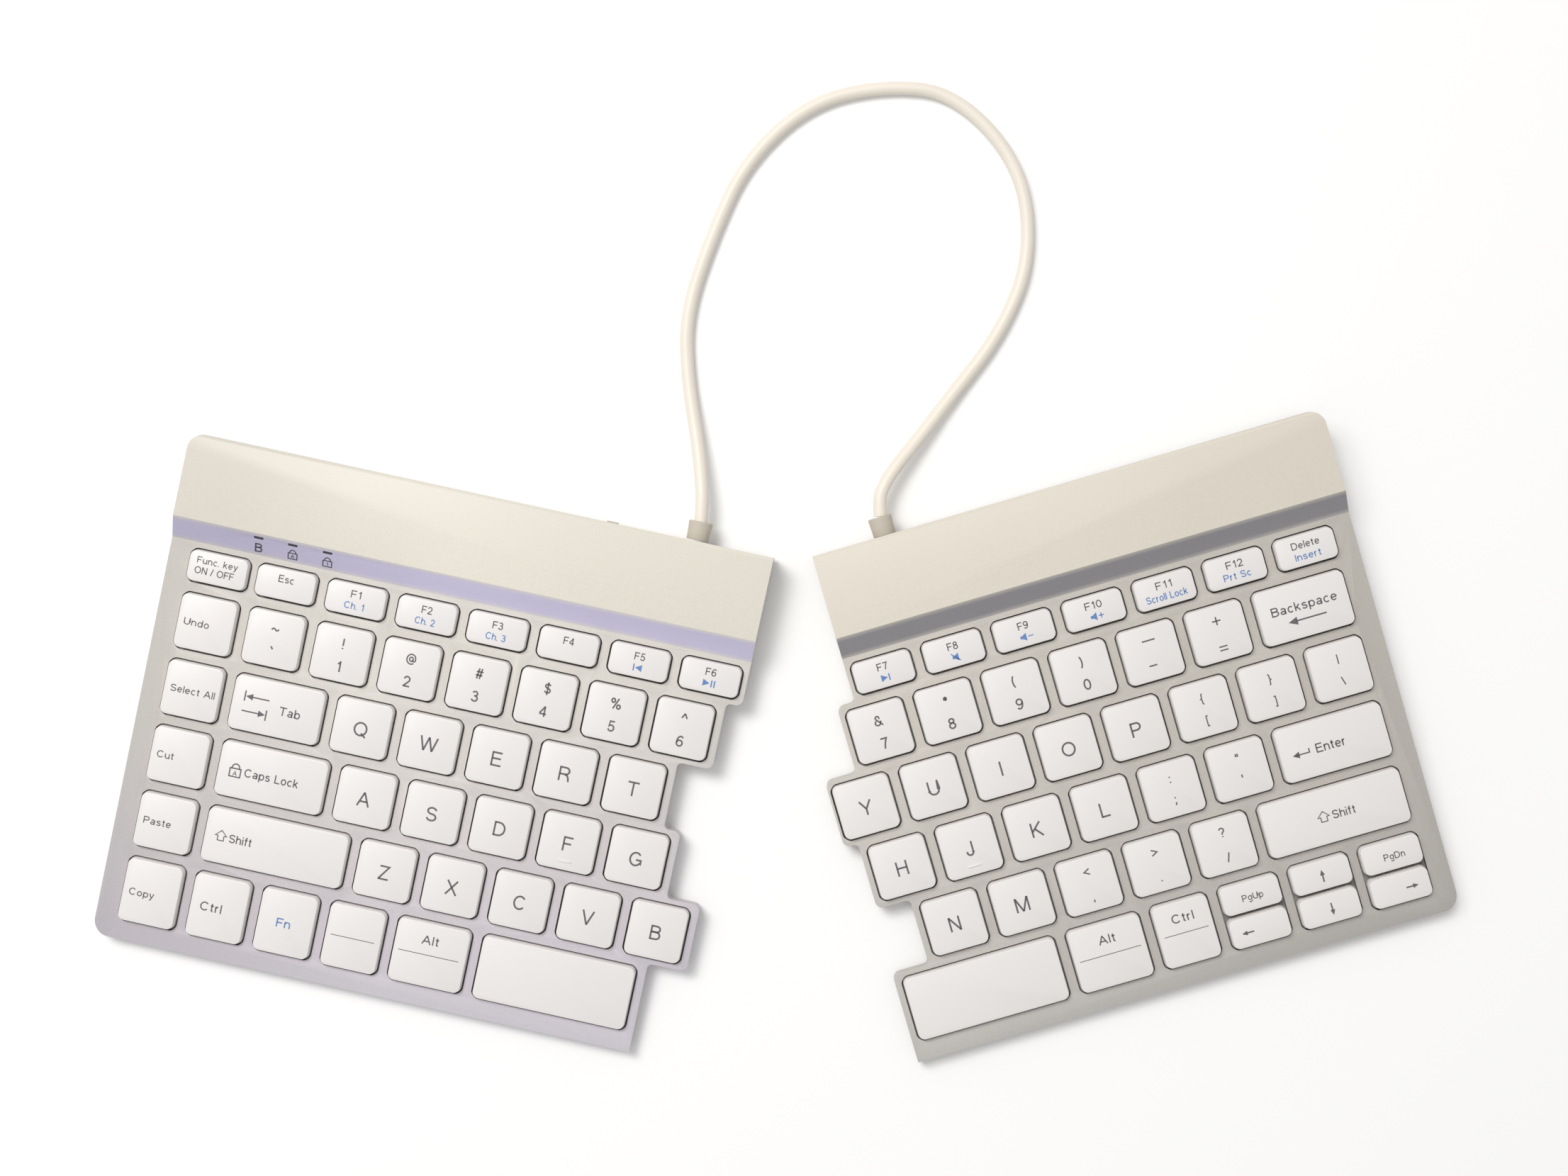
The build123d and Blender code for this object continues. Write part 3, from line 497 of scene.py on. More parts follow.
def dress_top_case(half, case_material, slope_material):
    case = cad_copy(half + "_top_case", half + "_case_shell")
    mode("EDIT")
    bpy.ops.mesh.select_all(action="SELECT")
    bpy.ops.mesh.remove_doubles(threshold=MERGE_DISTANCE * MM)
    bpy.ops.mesh.dissolve_limited(angle_limit=FLAT_WITHIN, delimit={"NORMAL"})
    inverse = half_matrix(half).inverted()
    normal = (half_matrix(half).to_3x3() @ Vector((0, 0, 1))).normalized()

    def well_corner(e):
        a, b = (v.co for v in e.verts)
        along = b - a
        if along.length < 0.5 * MM or abs(along.normalized().dot(normal)) < 0.999:
            return False
        if not radians(35) < edge_angle(e) < radians(55):
            return False
        return max((inverse @ a).z, (inverse @ b).z) > -0.05

    select_edges(case, well_corner)
    bevel(WELL_ROUNDING * MM, 2)

    def top_edge(e):
        if edge_angle(e) < SHARP_ANGLE:
            return False
        a, b = (inverse @ v.co for v in e.verts)
        upward = max(f.normal.dot(normal) for f in e.link_faces) > 0.85
        return upward and min(a.z, b.z) > -0.6

    select_edges(case, top_edge)
    bevel(EDGE_EASING * MM, 2, clamp_overlap=True)
    mode("OBJECT")
    paint(case, case_material)
    case.data.materials.append(slope_material)
    case.data.materials.append(well_painted_shade)
    flat_inverse = flat_matrix(half).inverted()
    reach = WELL_REACH + 0.05

    def in_well(spot):
        for _, x, y, width, depth in half_keys[half]:
            if abs(spot.x - x) < width / 2 + reach and abs(spot.y - y) < depth / 2 + reach:
                return True
        return False

    for face in case.data.polygons:
        centre = flat_inverse @ face.center
        # Slope faces take the painted reflection.
        on_slope = SLOPE_FOOT[0] < centre.y < SLOPE_TOP[0] + 0.2 and centre.z > 9
        if on_slope and 0.3 < face.normal.z < 0.9:
            face.material_index = 1
        elif abs(face.normal.dot(normal)) < 0.4:
            spot = inverse @ face.center
            # Wall faces inside the wells take the painted shade of the gaps.
            if spot.z < -0.3 and in_well(spot):
                face.material_index = 2
    close_corners(case, half)
    smooth_below(SHARP_ANGLE)
    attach(case, half + "_half")
    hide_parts(half + "_top_case")


# Domes and scissor frames: copies folded down to the room that a pressed cap leaves
# them, so that nothing comes through a cap at the end of its travel

MEMBRANE_TOP = -2.8
PRESSED_ROOM = 0.55


def folded_stack(half, kind, material):
    stack = cad_copy(half + "_" + kind, half + "_" + kind + "_folded")
    frame_of_half = half_matrix(half)
    inverse = frame_of_half.inverted()
    for vertex in stack.data.vertices:
        spot = inverse @ vertex.co
        above = spot.z - MEMBRANE_TOP
        spot.z = MEMBRANE_TOP + max(above, 0) * PRESSED_ROOM + min(above, 0)
        vertex.co = frame_of_half @ spot
    stack.data.update()
    paint(stack, material)
    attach(stack, half + "_half")
    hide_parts(half + "_" + kind)


for half in HALVES:
    folded_stack(half, "dome_membrane", silicone)
    folded_stack(half, "scissor_frames", acetal)

# Key caps

def wide_cap(pitches):
    return pitches * KEY_PITCH - (KEY_PITCH - CAP_WIDTH)


def row(group_names, first, line):
    return [
        (n, (first + i) * KEY_PITCH, -line * ROW_PITCH, CAP_WIDTH, CAP_DEPTH)
        for i, n in enumerate(group_names)
    ]


def single(name, centre, pitches, line):
    return [(name, centre * KEY_PITCH, -line * ROW_PITCH, wide_cap(pitches), CAP_DEPTH)]


def front(name, x, width):
    return [(name, x, FRONT_ROW_Y, width, FRONT_DEPTH)]


def letters(text):
    return ["key_" + c for c in text]


left_keys = (
    [("keys_left_function_row", x, FUNCTION_ROW_Y, *FUNCTION_CAP) for x in LEFT_FUNCTION]
    + row(["keys_left_number_row"] * 7, 1, 0)
    + [("keys_left_edit_column", 0, -i * ROW_PITCH, CAP_WIDTH, CAP_DEPTH) for i in range(4)]
    + front("keys_left_edit_column", 0, CAP_WIDTH)
    + single("keys_left_modifiers", 1.25, 1.5, 1)
    + single("keys_left_modifiers", 1.375, 1.75, 2)
    + single("keys_left_modifiers", 1.625, 2.25, 3)
    + [("keys_left_modifiers", i * KEY_PITCH, FRONT_ROW_Y, CAP_WIDTH, FRONT_DEPTH) for i in (1, 2, 3)]
    + front("keys_left_modifiers", 4.125 * KEY_PITCH, wide_cap(1.25))
    + row(letters("qwert"), 2.5, 1) + row(letters("asdfg"), 2.75, 2) + row(letters("zxcvb"), 3.25, 3)
    + front("key_space_left", LEFT_SPACE, SPACE_WIDTH)
)
right_keys = (
    [("keys_right_function_row", x, FUNCTION_ROW_Y, *FUNCTION_CAP) for x in RIGHT_FUNCTION]
    + row(["keys_right_number_row"] * 6, 0, 0)
    + single("keys_right_wide", 6.25, 1.5, 0)
    + row(letters("yuiop") + ["keys_right_punctuation"] * 3, -0.5, 1)
    + row(letters("hjkl") + ["keys_right_punctuation"] * 2, -0.25, 2)
    + single("keys_right_wide", 6.125, 1.75, 2)
    + row(letters("nm") + ["keys_right_punctuation"] * 3, 0.25, 3)
    + single("keys_right_wide", 5.875, 2.25, 3)
    + front("key_space_right", RIGHT_SPACE, SPACE_WIDTH)
    + front("keys_right_modifiers_and_arrows", RIGHT_ALT, wide_cap(1.25))
    + front("keys_right_modifiers_and_arrows", RIGHT_CONTROL, CAP_WIDTH)
    + [("keys_right_modifiers_and_arrows", x, y, FUNCTION_CAP[0], d) for x in ARROWS for y, d in HALF_KEYS]
)
half_keys = {"left": left_keys, "right": right_keys}
half_of = {key[0]: half for half, keys in half_keys.items() for key in keys}

for half, materials in (("left", (case_left, slope_reflection_left)), ("right", (case_right, slope_reflection_right))):
    dress_top_case(half, *materials)

cap_moulds = {}


def hollow_cap(cap):
    """Opens the cap from below, in edit mode, to an even wall and roof."""
    bpy.ops.mesh.select_all(action="DESELECT")
    shape = bmesh.from_edit_mesh(cap.data)
    for face in shape.faces:
        face.select = face.normal.z < -0.9
    shape.select_flush_mode()
    bmesh.update_edit_mesh(cap.data)
    bpy.ops.mesh.inset(thickness=CAP_WALL)
    bpy.ops.mesh.extrude_region_move(TRANSFORM_OT_translate={"value": (0, 0, CAP_HEIGHT - CAP_ROOF)})


def on_top(edge):
    return min(v.co.z for v in edge.verts) > CAP_TOP - 0.01


def cap_mould(width, depth):
    """One cap of this size at zero, in millimetres: drafted sides, round corners, eased top."""
    size = (round(width, 3), round(depth, 3))
    if size in cap_moulds:
        return cap_moulds[size]
    deselect()
    bpy.ops.mesh.primitive_cube_add(size=1, location=(0, 0, CAP_TOP - CAP_HEIGHT / 2))
    cap = active()
    cap.scale = (width + 2 * CAP_DRAFT, depth + 2 * CAP_DRAFT, CAP_HEIGHT)
    bpy.ops.object.transform_apply(location=True, rotation=False, scale=True)
    mode("EDIT")
    select_edges(cap, lambda e: abs(e.verts[0].co.z - e.verts[1].co.z) > 1)
    bevel(CAP_ROUNDING, 6)
    hollow_cap(cap)
    select_edges(cap, on_top)
    bpy.ops.transform.resize(
        value=(width / (width + 2 * CAP_DRAFT), depth / (depth + 2 * CAP_DRAFT), 1),
        center_override=(0, 0, 0),
    )
    select_edges(cap, lambda e: on_top(e) and edge_angle(e) > 0.5)
    bevel(CAP_EASING, 2)
    mode("OBJECT")
    smooth_below(radians(30))
    cap_moulds[size] = cap
    return cap


def join(objects, name):
    """Joins the objects into the first of them."""
    deselect()
    for o in objects:
        o.select_set(True)
    bpy.context.view_layer.objects.active = objects[0]
    if len(objects) > 1:
        bpy.ops.object.join()
    objects[0].name = name
    return objects[0]


def placed_copy(source, matrix, name):
    mesh = source.data.copy()
    mesh.transform(matrix)
    return linked(name, mesh)


caps_by_node = {}
for half, keys in half_keys.items():
    for name, x, y, width, depth in keys:
        mould = cap_mould(width, depth)
        copy = placed_copy(mould, half_matrix(half) @ move((x, y, 0)), "cap")
        caps_by_node.setdefault(name, []).append(copy)
for name, copies in caps_by_node.items():
    cap = join(copies, name + "_caps")
    paint(cap, cap_plastic)
    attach(cap, name)
    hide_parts(name)
for mould in cap_moulds.values():
    bpy.data.objects.remove(mould, do_unlink=True)


# Legends, printed flat on the caps. Their plain, even letters are drawn with strokes:
# each sign is its width and its lines, on a height of 1 for a capital, where a plain line
# is text in hundredths of that height.

PRINT_HEIGHT = CAP_TOP + 0.015
LETTER_HEIGHT = 4.0
WORD_HEIGHT = 2.45
SUB_HEIGHT = 1.9
FUNCTION_WORD_Y = 16.85
SUB_Y = 13.7
SIGN_GAP = 0.14
BIG_SIGN_WEIGHT = 0.125
SMALL_SIGN_WEIGHT = 0.15
NARROWEST = 0.9
WIDEST = 1.16
prints = {}


def points(line):
    """A line's points: they come as they are, or as text in hundredths."""
    if not isinstance(line, str):
        return line
    return [tuple(float(value) / 100 for value in point.split(",")) for point in line.split()]


def arc(x, y, rx, ry, start, end, steps=9):
    """Points on an oval from one angle to another, in degrees."""
    turns = [radians(start + (end - start) * i / steps) for i in range(steps + 1)]
    return [(x + rx * cos(a), y + ry * sin(a)) for a in turns]


def ring(x, y, rx, ry):
    return arc(x, y, rx, ry, 0, 360, 18)


def bowl(x, y, rx, ry, stem=0.06):
    """A round that leaves a stem at its left and comes back to it."""
    return [(stem, y + ry)] + arc(x, y, rx, ry, 90, -90) + [(stem, y - ry)]


STEM = "6,0 6,100"
SHORT_STEM = "6,0 6,72"
SIGNS = {
    "A": (0.87, "4,0 43.5,97", "43.5,97 83,0", "17,33 70,33"),
    "B": (0.74, STEM, bowl(0.42, 0.74, 0.22, 0.2), bowl(0.43, 0.3, 0.25, 0.24)),
    "C": (0.86, arc(0.44, 0.5, 0.38, 0.44, 40, 320, 18)),
    "D": (0.82, STEM, bowl(0.36, 0.5, 0.4, 0.44)),
    "E": (0.72, STEM, "6,94 70,94", "6,53 66,53", "6,6 72,6"),
    "F": (0.66, STEM, "6,94 66,94", "6,50 58,50"),
    "G": (0.88, arc(0.44, 0.5, 0.38, 0.44, 42, 322, 18) + points("81,20 81,45 47,45")),
    "H": (0.78, STEM, "72,0 72,100", "6,53 72,53"),
    "I": (0.12, STEM),
    "J": (0.54, points("48,100 48,28") + arc(0.27, 0.28, 0.21, 0.22, 0, -180) + points("6,34")),
    "K": (0.82, STEM, "6,36 70,100", "28,56 76,0"),
    "L": (0.62, STEM, "6,6 62,6"),
    "M": (0.96, STEM, "90,0 90,100", "8,98 48,2", "48,2 88,98"),
    "N": (0.78, STEM, "72,0 72,100", "7,98 71,2"),
    "O": (0.96, ring(0.48, 0.5, 0.42, 0.44)),
    "P": (0.74, STEM, bowl(0.42, 0.7, 0.25, 0.24)),
    "Q": (0.96, ring(0.48, 0.5, 0.42, 0.44), "56,22 88,-4"),
    "R": (0.8, STEM, bowl(0.44, 0.71, 0.26, 0.23), "42,48 60,40 68,24 72,0"),
    "S": (0.76, arc(0.38, 0.725, 0.29, 0.215, 12, 262, 12) + arc(0.39, 0.285, 0.31, 0.225, 84, -168, 12)),
    "T": (0.78, "0,94 78,94", "39,0 39,94"),
    "U": (0.78, points("6,100 6,36") + arc(0.39, 0.36, 0.33, 0.3, 180, 360) + points("72,36 72,100")),
    "V": (0.84, "4,100 42,2", "42,2 80,100"),
    "W": (1.24, "4,100 33,2", "33,2 62,97", "62,97 91,2", "91,2 120,100"),
    "X": (0.84, "5,0 77,100", "7,100 79,0"),
    "Y": (0.84, "4,100 42,42", "80,100 42,42", "42,44 42,0"),
    "Z": (0.76, "6,94 70,94 7,6", "3,6 74,6"),
    "0": (0.66, ring(0.33, 0.5, 0.27, 0.44)),
    "1": (0.4, "30,0 30,100", "6,74 20,78 30,96"),
    "2": (0.66, arc(0.32, 0.69, 0.25, 0.25, 172, -38, 12) + points("7,6"), "3,6 64,6"),
    "3": (
        0.66, arc(0.31, 0.74, 0.22, 0.2, 160, -80, 11), arc(0.32, 0.3, 0.26, 0.24, 80, -165, 12),
        "24,54 34,54"
    ),
    "4": (0.68, "48,0 48,97", "48,95 6,32", "3,26 66,26"),
    "5": (0.66, points("58,94 18,94 11,48") + arc(0.32, 0.33, 0.26, 0.27, 132, -160, 12)),
    "6": (0.66, ring(0.33, 0.32, 0.26, 0.26), arc(0.38, 0.42, 0.31, 0.52, 50, 190, 9)),
    "7": (0.62, "3,94 58,94 38,50 25,0"),
    "8": (0.66, ring(0.33, 0.745, 0.22, 0.195), ring(0.33, 0.3, 0.26, 0.24)),
    "9": (0.66, ring(0.33, 0.68, 0.26, 0.26), arc(0.28, 0.58, 0.31, 0.52, -130, 10, 9)),
    "a": (
        0.6, points("52,0 50,10 50,50") + arc(0.3, 0.5, 0.2, 0.17, 0, 160, 6),
        ring(0.28, 0.21, 0.22, 0.15)
    ),
    "b": (0.62, STEM, ring(0.32, 0.35, 0.25, 0.3)),
    "c": (0.58, arc(0.31, 0.36, 0.25, 0.31, 45, 315, 12)),
    "d": (0.64, "58,0 58,100", ring(0.32, 0.35, 0.25, 0.3)),
    "e": (0.62, "7,37 56,37", arc(0.31, 0.36, 0.25, 0.31, 2, 318, 14)),
    "f": (0.38, points("18,0 18,80") + arc(0.32, 0.8, 0.14, 0.15, 180, 80, 5), "2,67 36,67"),
    "g": (
        0.62, ring(0.31, 0.38, 0.25, 0.29), points("56,72 56,-8")
        + arc(0.31, -0.06, 0.25, 0.18, 0, -150, 7)
    ),
    "h": (0.6, STEM, points("6,42") + arc(0.3, 0.44, 0.24, 0.23, 170, 0, 7) + points("54,0")),
    "i": (0.12, SHORT_STEM, "6,86 6,99"),
    "k": (0.56, STEM, "6,26 48,71", "22,43 52,0"),
    "l": (0.12, STEM),
    "n": (0.6, SHORT_STEM, points("6,42") + arc(0.3, 0.44, 0.24, 0.23, 170, 0, 7) + points("54,0")),
    "o": (0.62, ring(0.31, 0.36, 0.25, 0.31)),
    "p": (0.62, "6,-27 6,72", ring(0.32, 0.36, 0.25, 0.31)),
    "r": (0.38, SHORT_STEM, points("6,40") + arc(0.28, 0.44, 0.22, 0.22, 170, 85, 5)),
    "s": (0.56, arc(0.28, 0.53, 0.2, 0.14, 20, 265, 9) + arc(0.28, 0.225, 0.22, 0.165, 85, -165, 9)),
    "t": (0.36, points("17,92 17,18") + arc(0.29, 0.18, 0.12, 0.12, 180, 280, 5), "2,67 34,67"),
    "u": (0.6, points("6,72 6,30") + arc(0.3, 0.3, 0.24, 0.24, 180, 350, 7), "54,0 54,72"),
    "y": (0.56, "3,72 28,3", "53,72 24,-10 16,-20 4,-21"),
    ".": (0.14, "7,0 7,13"),
    ",": (0.16, "10,13 3,-16"),
    "/": (0.34, "2,0 32,100"),
    "\\": (0.34, "2,100 32,0"),
    "|": (0.12, "6,-10 6,105"),
    "!": (0.14, "7,100 7,30", "7,13 7,0"),
    "#": (0.72, "16,0 30,100", "42,0 56,100", "2,34 66,34", "6,67 70,67"),
    "^": (0.56, "3,50 28,96", "28,96 53,50"),
    "*": (0.44, "22,52 22,96", "3,63 41,85", "3,85 41,63"),
    "(": (0.3, arc(0.42, 0.45, 0.34, 0.66, 122, 238, 8)),
    "[": (0.3, "28,99 6,99 6,-20 28,-20"),
    "{": (0.36, "34,100 24,98 18,88 18,54 12,43 3,39 12,35 18,24 18,-10 24,-20 34,-22"),
    ":": (0.14, "7,0 7,13", "7,52 7,65"),
    ";": (0.16, "10,13 3,-16", "10,52 10,65"),
    '"': (0.34, "8,98 8,66", "26,98 26,66"),
    "'": (0.14, "7,98 7,66"),
    "<": (0.66, "62,75 4,44 62,13"),
    "?": (0.62, arc(0.31, 0.72, 0.24, 0.23, 165, -35, 10) + points("33,42 31,26"), "31,13 31,0"),
    "~": (0.7, arc(0.2, 0.4, 0.16, 0.14, 190, 40, 6) + arc(0.5, 0.5, 0.16, 0.14, 220, 370, 6)),
    "`": (0.24, "2,98 22,74"),
    "$": (
        0.66, arc(0.33, 0.72, 0.24, 0.19, 20, 262, 10) + arc(0.33, 0.3, 0.26, 0.21, 84, -165, 10),
        "33,-12 33,110"
    ),
    "%": (1.0, ring(0.22, 0.75, 0.16, 0.19), ring(0.78, 0.22, 0.16, 0.19), "28,-2 72,100"),
    "&": (
        0.8, arc(0.36, 0.76, 0.18, 0.18, -40, 220, 10) + points("62,20 78,0"),
        arc(0.32, 0.28, 0.26, 0.23, 110, 350, 12) + points("66,46")
    ),
    "@": (
        1.1, ring(0.55, 0.45, 0.19, 0.22), arc(0.55, 0.45, 0.47, 0.52, -50, -330, 18)
        + arc(0.83, 0.42, 0.17, 0.2, 20, -170, 7)
    ),
    " ": (0.3,),
}
for first, second in ("()", "[]", "{}", "<>"):
    span, *lines = SIGNS[first]
    SIGNS[second] = (span, *[[(span - x, y) for x, y in points(line)] for line in lines])


def add_stroke(shape, line, half):
    """Adds one printed line to the shape as flat faces, mitred at its bends."""
    closed = (Vector(line[0]) - Vector(line[-1])).length < 1e-6
    path = [Vector(p) for p in (line[:-1] if closed else line)]
    count = len(path)
    sides = []
    for i, p in enumerate(path):
        before = path[i - 1] if i or closed else None
        after = path[(i + 1) % count] if i < count - 1 or closed else None
        ways = [(p - before).normalized()] if before is not None else []
        ways += [(after - p).normalized()] if after is not None else []
        normals = [Vector((-w.y, w.x)) for w in ways]
        across = sum(normals, Vector((0, 0))).normalized()
        reach = half / max(across.dot(normals[0]), 0.5)
        sides.append((p + across * reach, p - across * reach))
    rows = [(shape.verts.new((*a, 0)), shape.verts.new((*b, 0))) for a, b in sides]
    pairs = list(zip(rows, rows[1:] + rows[:1])) if closed else list(zip(rows, rows[1:]))
    for (a, b), (c, d) in pairs:
        shape.faces.new((a, b, d, c))


def finish_print(shape, node_name, matrix, ink):
    for face in shape.faces:
        face.normal_update()
        if face.normal.z < 0:
            face.normal_flip()
    shape.transform(matrix)
    mesh = bpy.data.meshes.new("print")
    shape.to_mesh(mesh)
    shape.free()
    obj = linked("print", mesh)
    prints.setdefault((node_name, ink.name), []).append(obj)


def cap_spot(node_name, x, y):
    """From a flat drawing to its place on the caps of this node."""
    return half_matrix(half_of[node_name]) @ move((x, y, PRINT_HEIGHT))


def print_text(node_name, text, x, y, height, align="CENTER", ink=None, width=None, matrix=None):
    """A printed word with its capitals this high, centred or starting at x, centred on y."""
    gap = SIGN_GAP
    weight = BIG_SIGN_WEIGHT if height > 3 else SMALL_SIGN_WEIGHT
    widths = [SIGNS[c][0] for c in text]
    stretch = 1.0
    if width and len(text) > 1:
        stretch = width / height / (sum(widths) + gap * (len(text) - 1))
        stretch = min(max(stretch, NARROWEST), WIDEST)
        widths = [stretch * span for span in widths]
        gap = (width / height - sum(widths)) / (len(text) - 1)
    total = sum(widths) + gap * (len(text) - 1)
    at = -total / 2 if align == "CENTER" else 0.0
    shape = bmesh.new()
    for sign, span in zip(text, widths):
        for line in SIGNS[sign][1:]:
            path = [((px * stretch + at) * height, (py - 0.5) * height) for px, py in points(line)]
            add_stroke(shape, path, weight * height / 2)
        at += span + gap
    finish_print(shape, node_name, matrix or cap_spot(node_name, x, y), ink or grey_ink)


def print_shape(node_name, outlines, x, y, ink=None, matrix=None):
    """Printed flat marks: each is a closed outline, or a line with its thickness."""
    shape = bmesh.new()
    for outline in outlines:
        if outline[0] == "line":
            add_stroke(shape, outline[2], outline[1] / 2)
        else:
            shape.faces.new([shape.verts.new((px, py, 0)) for px, py in outline])
    finish_print(shape, node_name, matrix or cap_spot(node_name, x, y), ink or grey_ink)


def bar(x0, y0, x1, y1, thick):
    return ("line", thick, [(x0, y0), (x1, y1)])


def arrow(length, head, thick, turn=0.0, x=0.0, y=0.0):
    """An arrow that points along x before its turn, as a stroke and a head."""
    c, s = cos(turn), sin(turn)

    def placed(outline):
        return [(px * c - py * s + x, px * s + py * c + y) for px, py in outline]

    line = placed([(-length / 2, 0), (length / 2 - head * 0.9, 0)])
    tip = placed([(length / 2 - head, head * 0.45), (length / 2 - head, -head * 0.45), (length / 2, 0)])
    return [("line", thick, line), tip]


def shift_mark():
    """An outlined arrow that points away from the user."""
    half = [(0, 1.5), (1.6, 0.0), (0.85, 0.0), (0.85, -1.3)]
    return [("line", 0.28, half + [(-px, py) for px, py in reversed(half)])]


def lock_mark(size):
    """A padlock: a body outline under a shackle."""
    w, h = size * 0.42, size * 0.3
    body = [(-w, -h * 1.5), (w, -h * 1.5), (w, h * 0.6), (-w, h * 0.6), (-w, -h * 1.5)]
    shackle = arc(0, h * 0.6, w * 0.72, size * 0.36, 180, 0, 8)
    return [("line", size * 0.1, body), ("line", size * 0.1, shackle)]


for name, x, y, *_ in left_keys + right_keys:
    if len(name) == len("key_a"):
        print_text(name, name[-1].upper(), x - 0.1, y - 0.2, LETTER_HEIGHT)

group = "keys_left_function_row"
print_text(group, "Func. key", LEFT_FUNCTION[0] - 5.9, 17.1, 1.8, "LEFT", width=11.3)
print_text(group, "ON / OFF", LEFT_FUNCTION[0] - 6.1, 14.3, 1.9, "LEFT", width=10.9)
print_text(group, "Esc", LEFT_FUNCTION[1] + 0.1, 16.8, 2.0)
for i, x in enumerate(LEFT_FUNCTION[2:], 1):
    print_text(group, "F%d" % i, x, FUNCTION_WORD_Y, 2.05, width=2.9)
    if i <= 3:
        print_text(group, "Ch. %d" % i, x, SUB_Y, SUB_HEIGHT, ink=blue_ink, width=5.5)
back = [bar(-1.15, -0.95, -1.15, 0.95, 0.36), [(1.1, 0.95), (-0.75, 0), (1.1, -0.95)]]
print_shape(group, back, LEFT_FUNCTION[6], 13.75, blue_ink)
play_pause = [[(-1.7, 0.95), (-1.7, -0.95), (0.2, 0)]] + [bar(x, -0.95, x, 0.95, 0.38) for x in (0.7, 1.5)]
print_shape(group, play_pause, LEFT_FUNCTION[7], 13.75, blue_ink)

group = "keys_left_number_row"
for i, (upper, lower) in enumerate(["~`", "!1", "@2", "#3", "$4", "%5", "^6"]):
    x = (i + 1) * KEY_PITCH
    print_text(group, upper, x + 0.1, 3.0, 2.6 if upper == "@" else 2.9)
    print_text(group, lower, x + 0.1, -3.3, 3.0)

group = "keys_left_edit_column"
for line, (word, width) in enumerate((("Undo", 7.0), ("Select All", 12.4), ("Cut", 4.7), ("Paste", 7.7))):
    print_text(group, word, -5.9, -line * ROW_PITCH, 1.95, "LEFT", width=width)
print_text(group, "Copy", -5.9, FRONT_ROW_Y - 0.3, 1.95, "LEFT", width=7.0)

group = "keys_left_modifiers"
tab_x, tab_y = 1.25 * KEY_PITCH, -ROW_PITCH
print_text(group, "Tab", tab_x + 0.9, tab_y - 0.1, 2.4, "LEFT", width=5.8)
back_tab = arrow(6.6, 2.0, 0.38, radians(180), 0.2) + [bar(-3.3, -1.4, -3.3, 1.5, 0.38)]
print_shape(group, back_tab, tab_x - 5.8, tab_y + 2.0)
next_tab = arrow(6.6, 2.0, 0.38, 0.0, -0.2) + [bar(3.3, -1.5, 3.3, 1.4, 0.38)]
print_shape(group, next_tab, tab_x - 5.8, tab_y - 2.1)
caps_x, caps_y = 1.375 * KEY_PITCH, -2 * ROW_PITCH
print_shape(group, lock_mark(3.6), caps_x - 10.0, caps_y - 0.2)
print_text(group, "A", caps_x - 10.0, caps_y - 0.85, 1.3)
print_text(group, "Caps Lock", caps_x - 7.4, caps_y - 0.1, 2.3, "LEFT", width=15.0)
shift_x, shift_y = 1.625 * KEY_PITCH, -3 * ROW_PITCH
print_shape(group, shift_mark(), shift_x - 15.0, shift_y + 0.1)
print_text(group, "Shift", shift_x - 12.7, shift_y - 0.1, 2.3, "LEFT", width=6.3)
print_text(group, "Ctrl", KEY_PITCH - 4.9, FRONT_ROW_Y, WORD_HEIGHT, "LEFT", width=6.0)
print_text(group, "Fn", 2 * KEY_PITCH - 0.5, FRONT_ROW_Y, WORD_HEIGHT, ink=blue_ink, width=3.9)
print_shape(group, [bar(-6.2, 0, 6.0, 0, 0.2)], 3 * KEY_PITCH, FRONT_ROW_Y)
print_text(group, "Alt", 4.125 * KEY_PITCH - 0.35, FRONT_ROW_Y + 4.1, WORD_HEIGHT, width=4.7)
print_shape(group, [bar(-8.6, 0, 8.2, 0, 0.2)], 4.125 * KEY_PITCH, FRONT_ROW_Y)

group = "keys_right_function_row"
words = (("F7", 2.9), ("F8", 2.9), ("F9", 2.9), ("F10", 4.7), ("F11", 4.5), ("F12", 4.7), ("Delete", 7.7))
subs = {4: ("Scroll Lock", 11.4), 5: ("Prt Sc", 7.6), 6: ("Insert", 7.2)}
for i, ((word, width), x) in enumerate(zip(words, RIGHT_FUNCTION)):
    print_text(group, word, x, FUNCTION_WORD_Y, 2.05 if i < 6 else 1.95, width=width)
    if i in subs:
        print_text(group, subs[i][0], x, SUB_Y, SUB_HEIGHT, ink=blue_ink, width=subs[i][1])
speaker = [(-1.5, 0.4), (-1.5, -0.4), (-0.9, -0.4), (0.2, -1.1), (0.2, 1.1), (-0.9, 0.4)]
minus, plus = bar(0.7, 0, 2.1, 0, 0.28), bar(1.4, -0.7, 1.4, 0.7, 0.28)
marks = (
    [[(-1.1, 0.95), (-1.1, -0.95), (0.75, 0)], bar(1.15, -0.95, 1.15, 0.95, 0.36)],
    [[(px + 0.7, py) for px, py in speaker], bar(-1.0, 1.1, 1.2, -1.1, 0.3)],
    [speaker, minus],
    [speaker, minus, plus],
)
for mark, x in zip(marks, RIGHT_FUNCTION):
    print_shape(group, mark, x, SUB_Y, blue_ink)

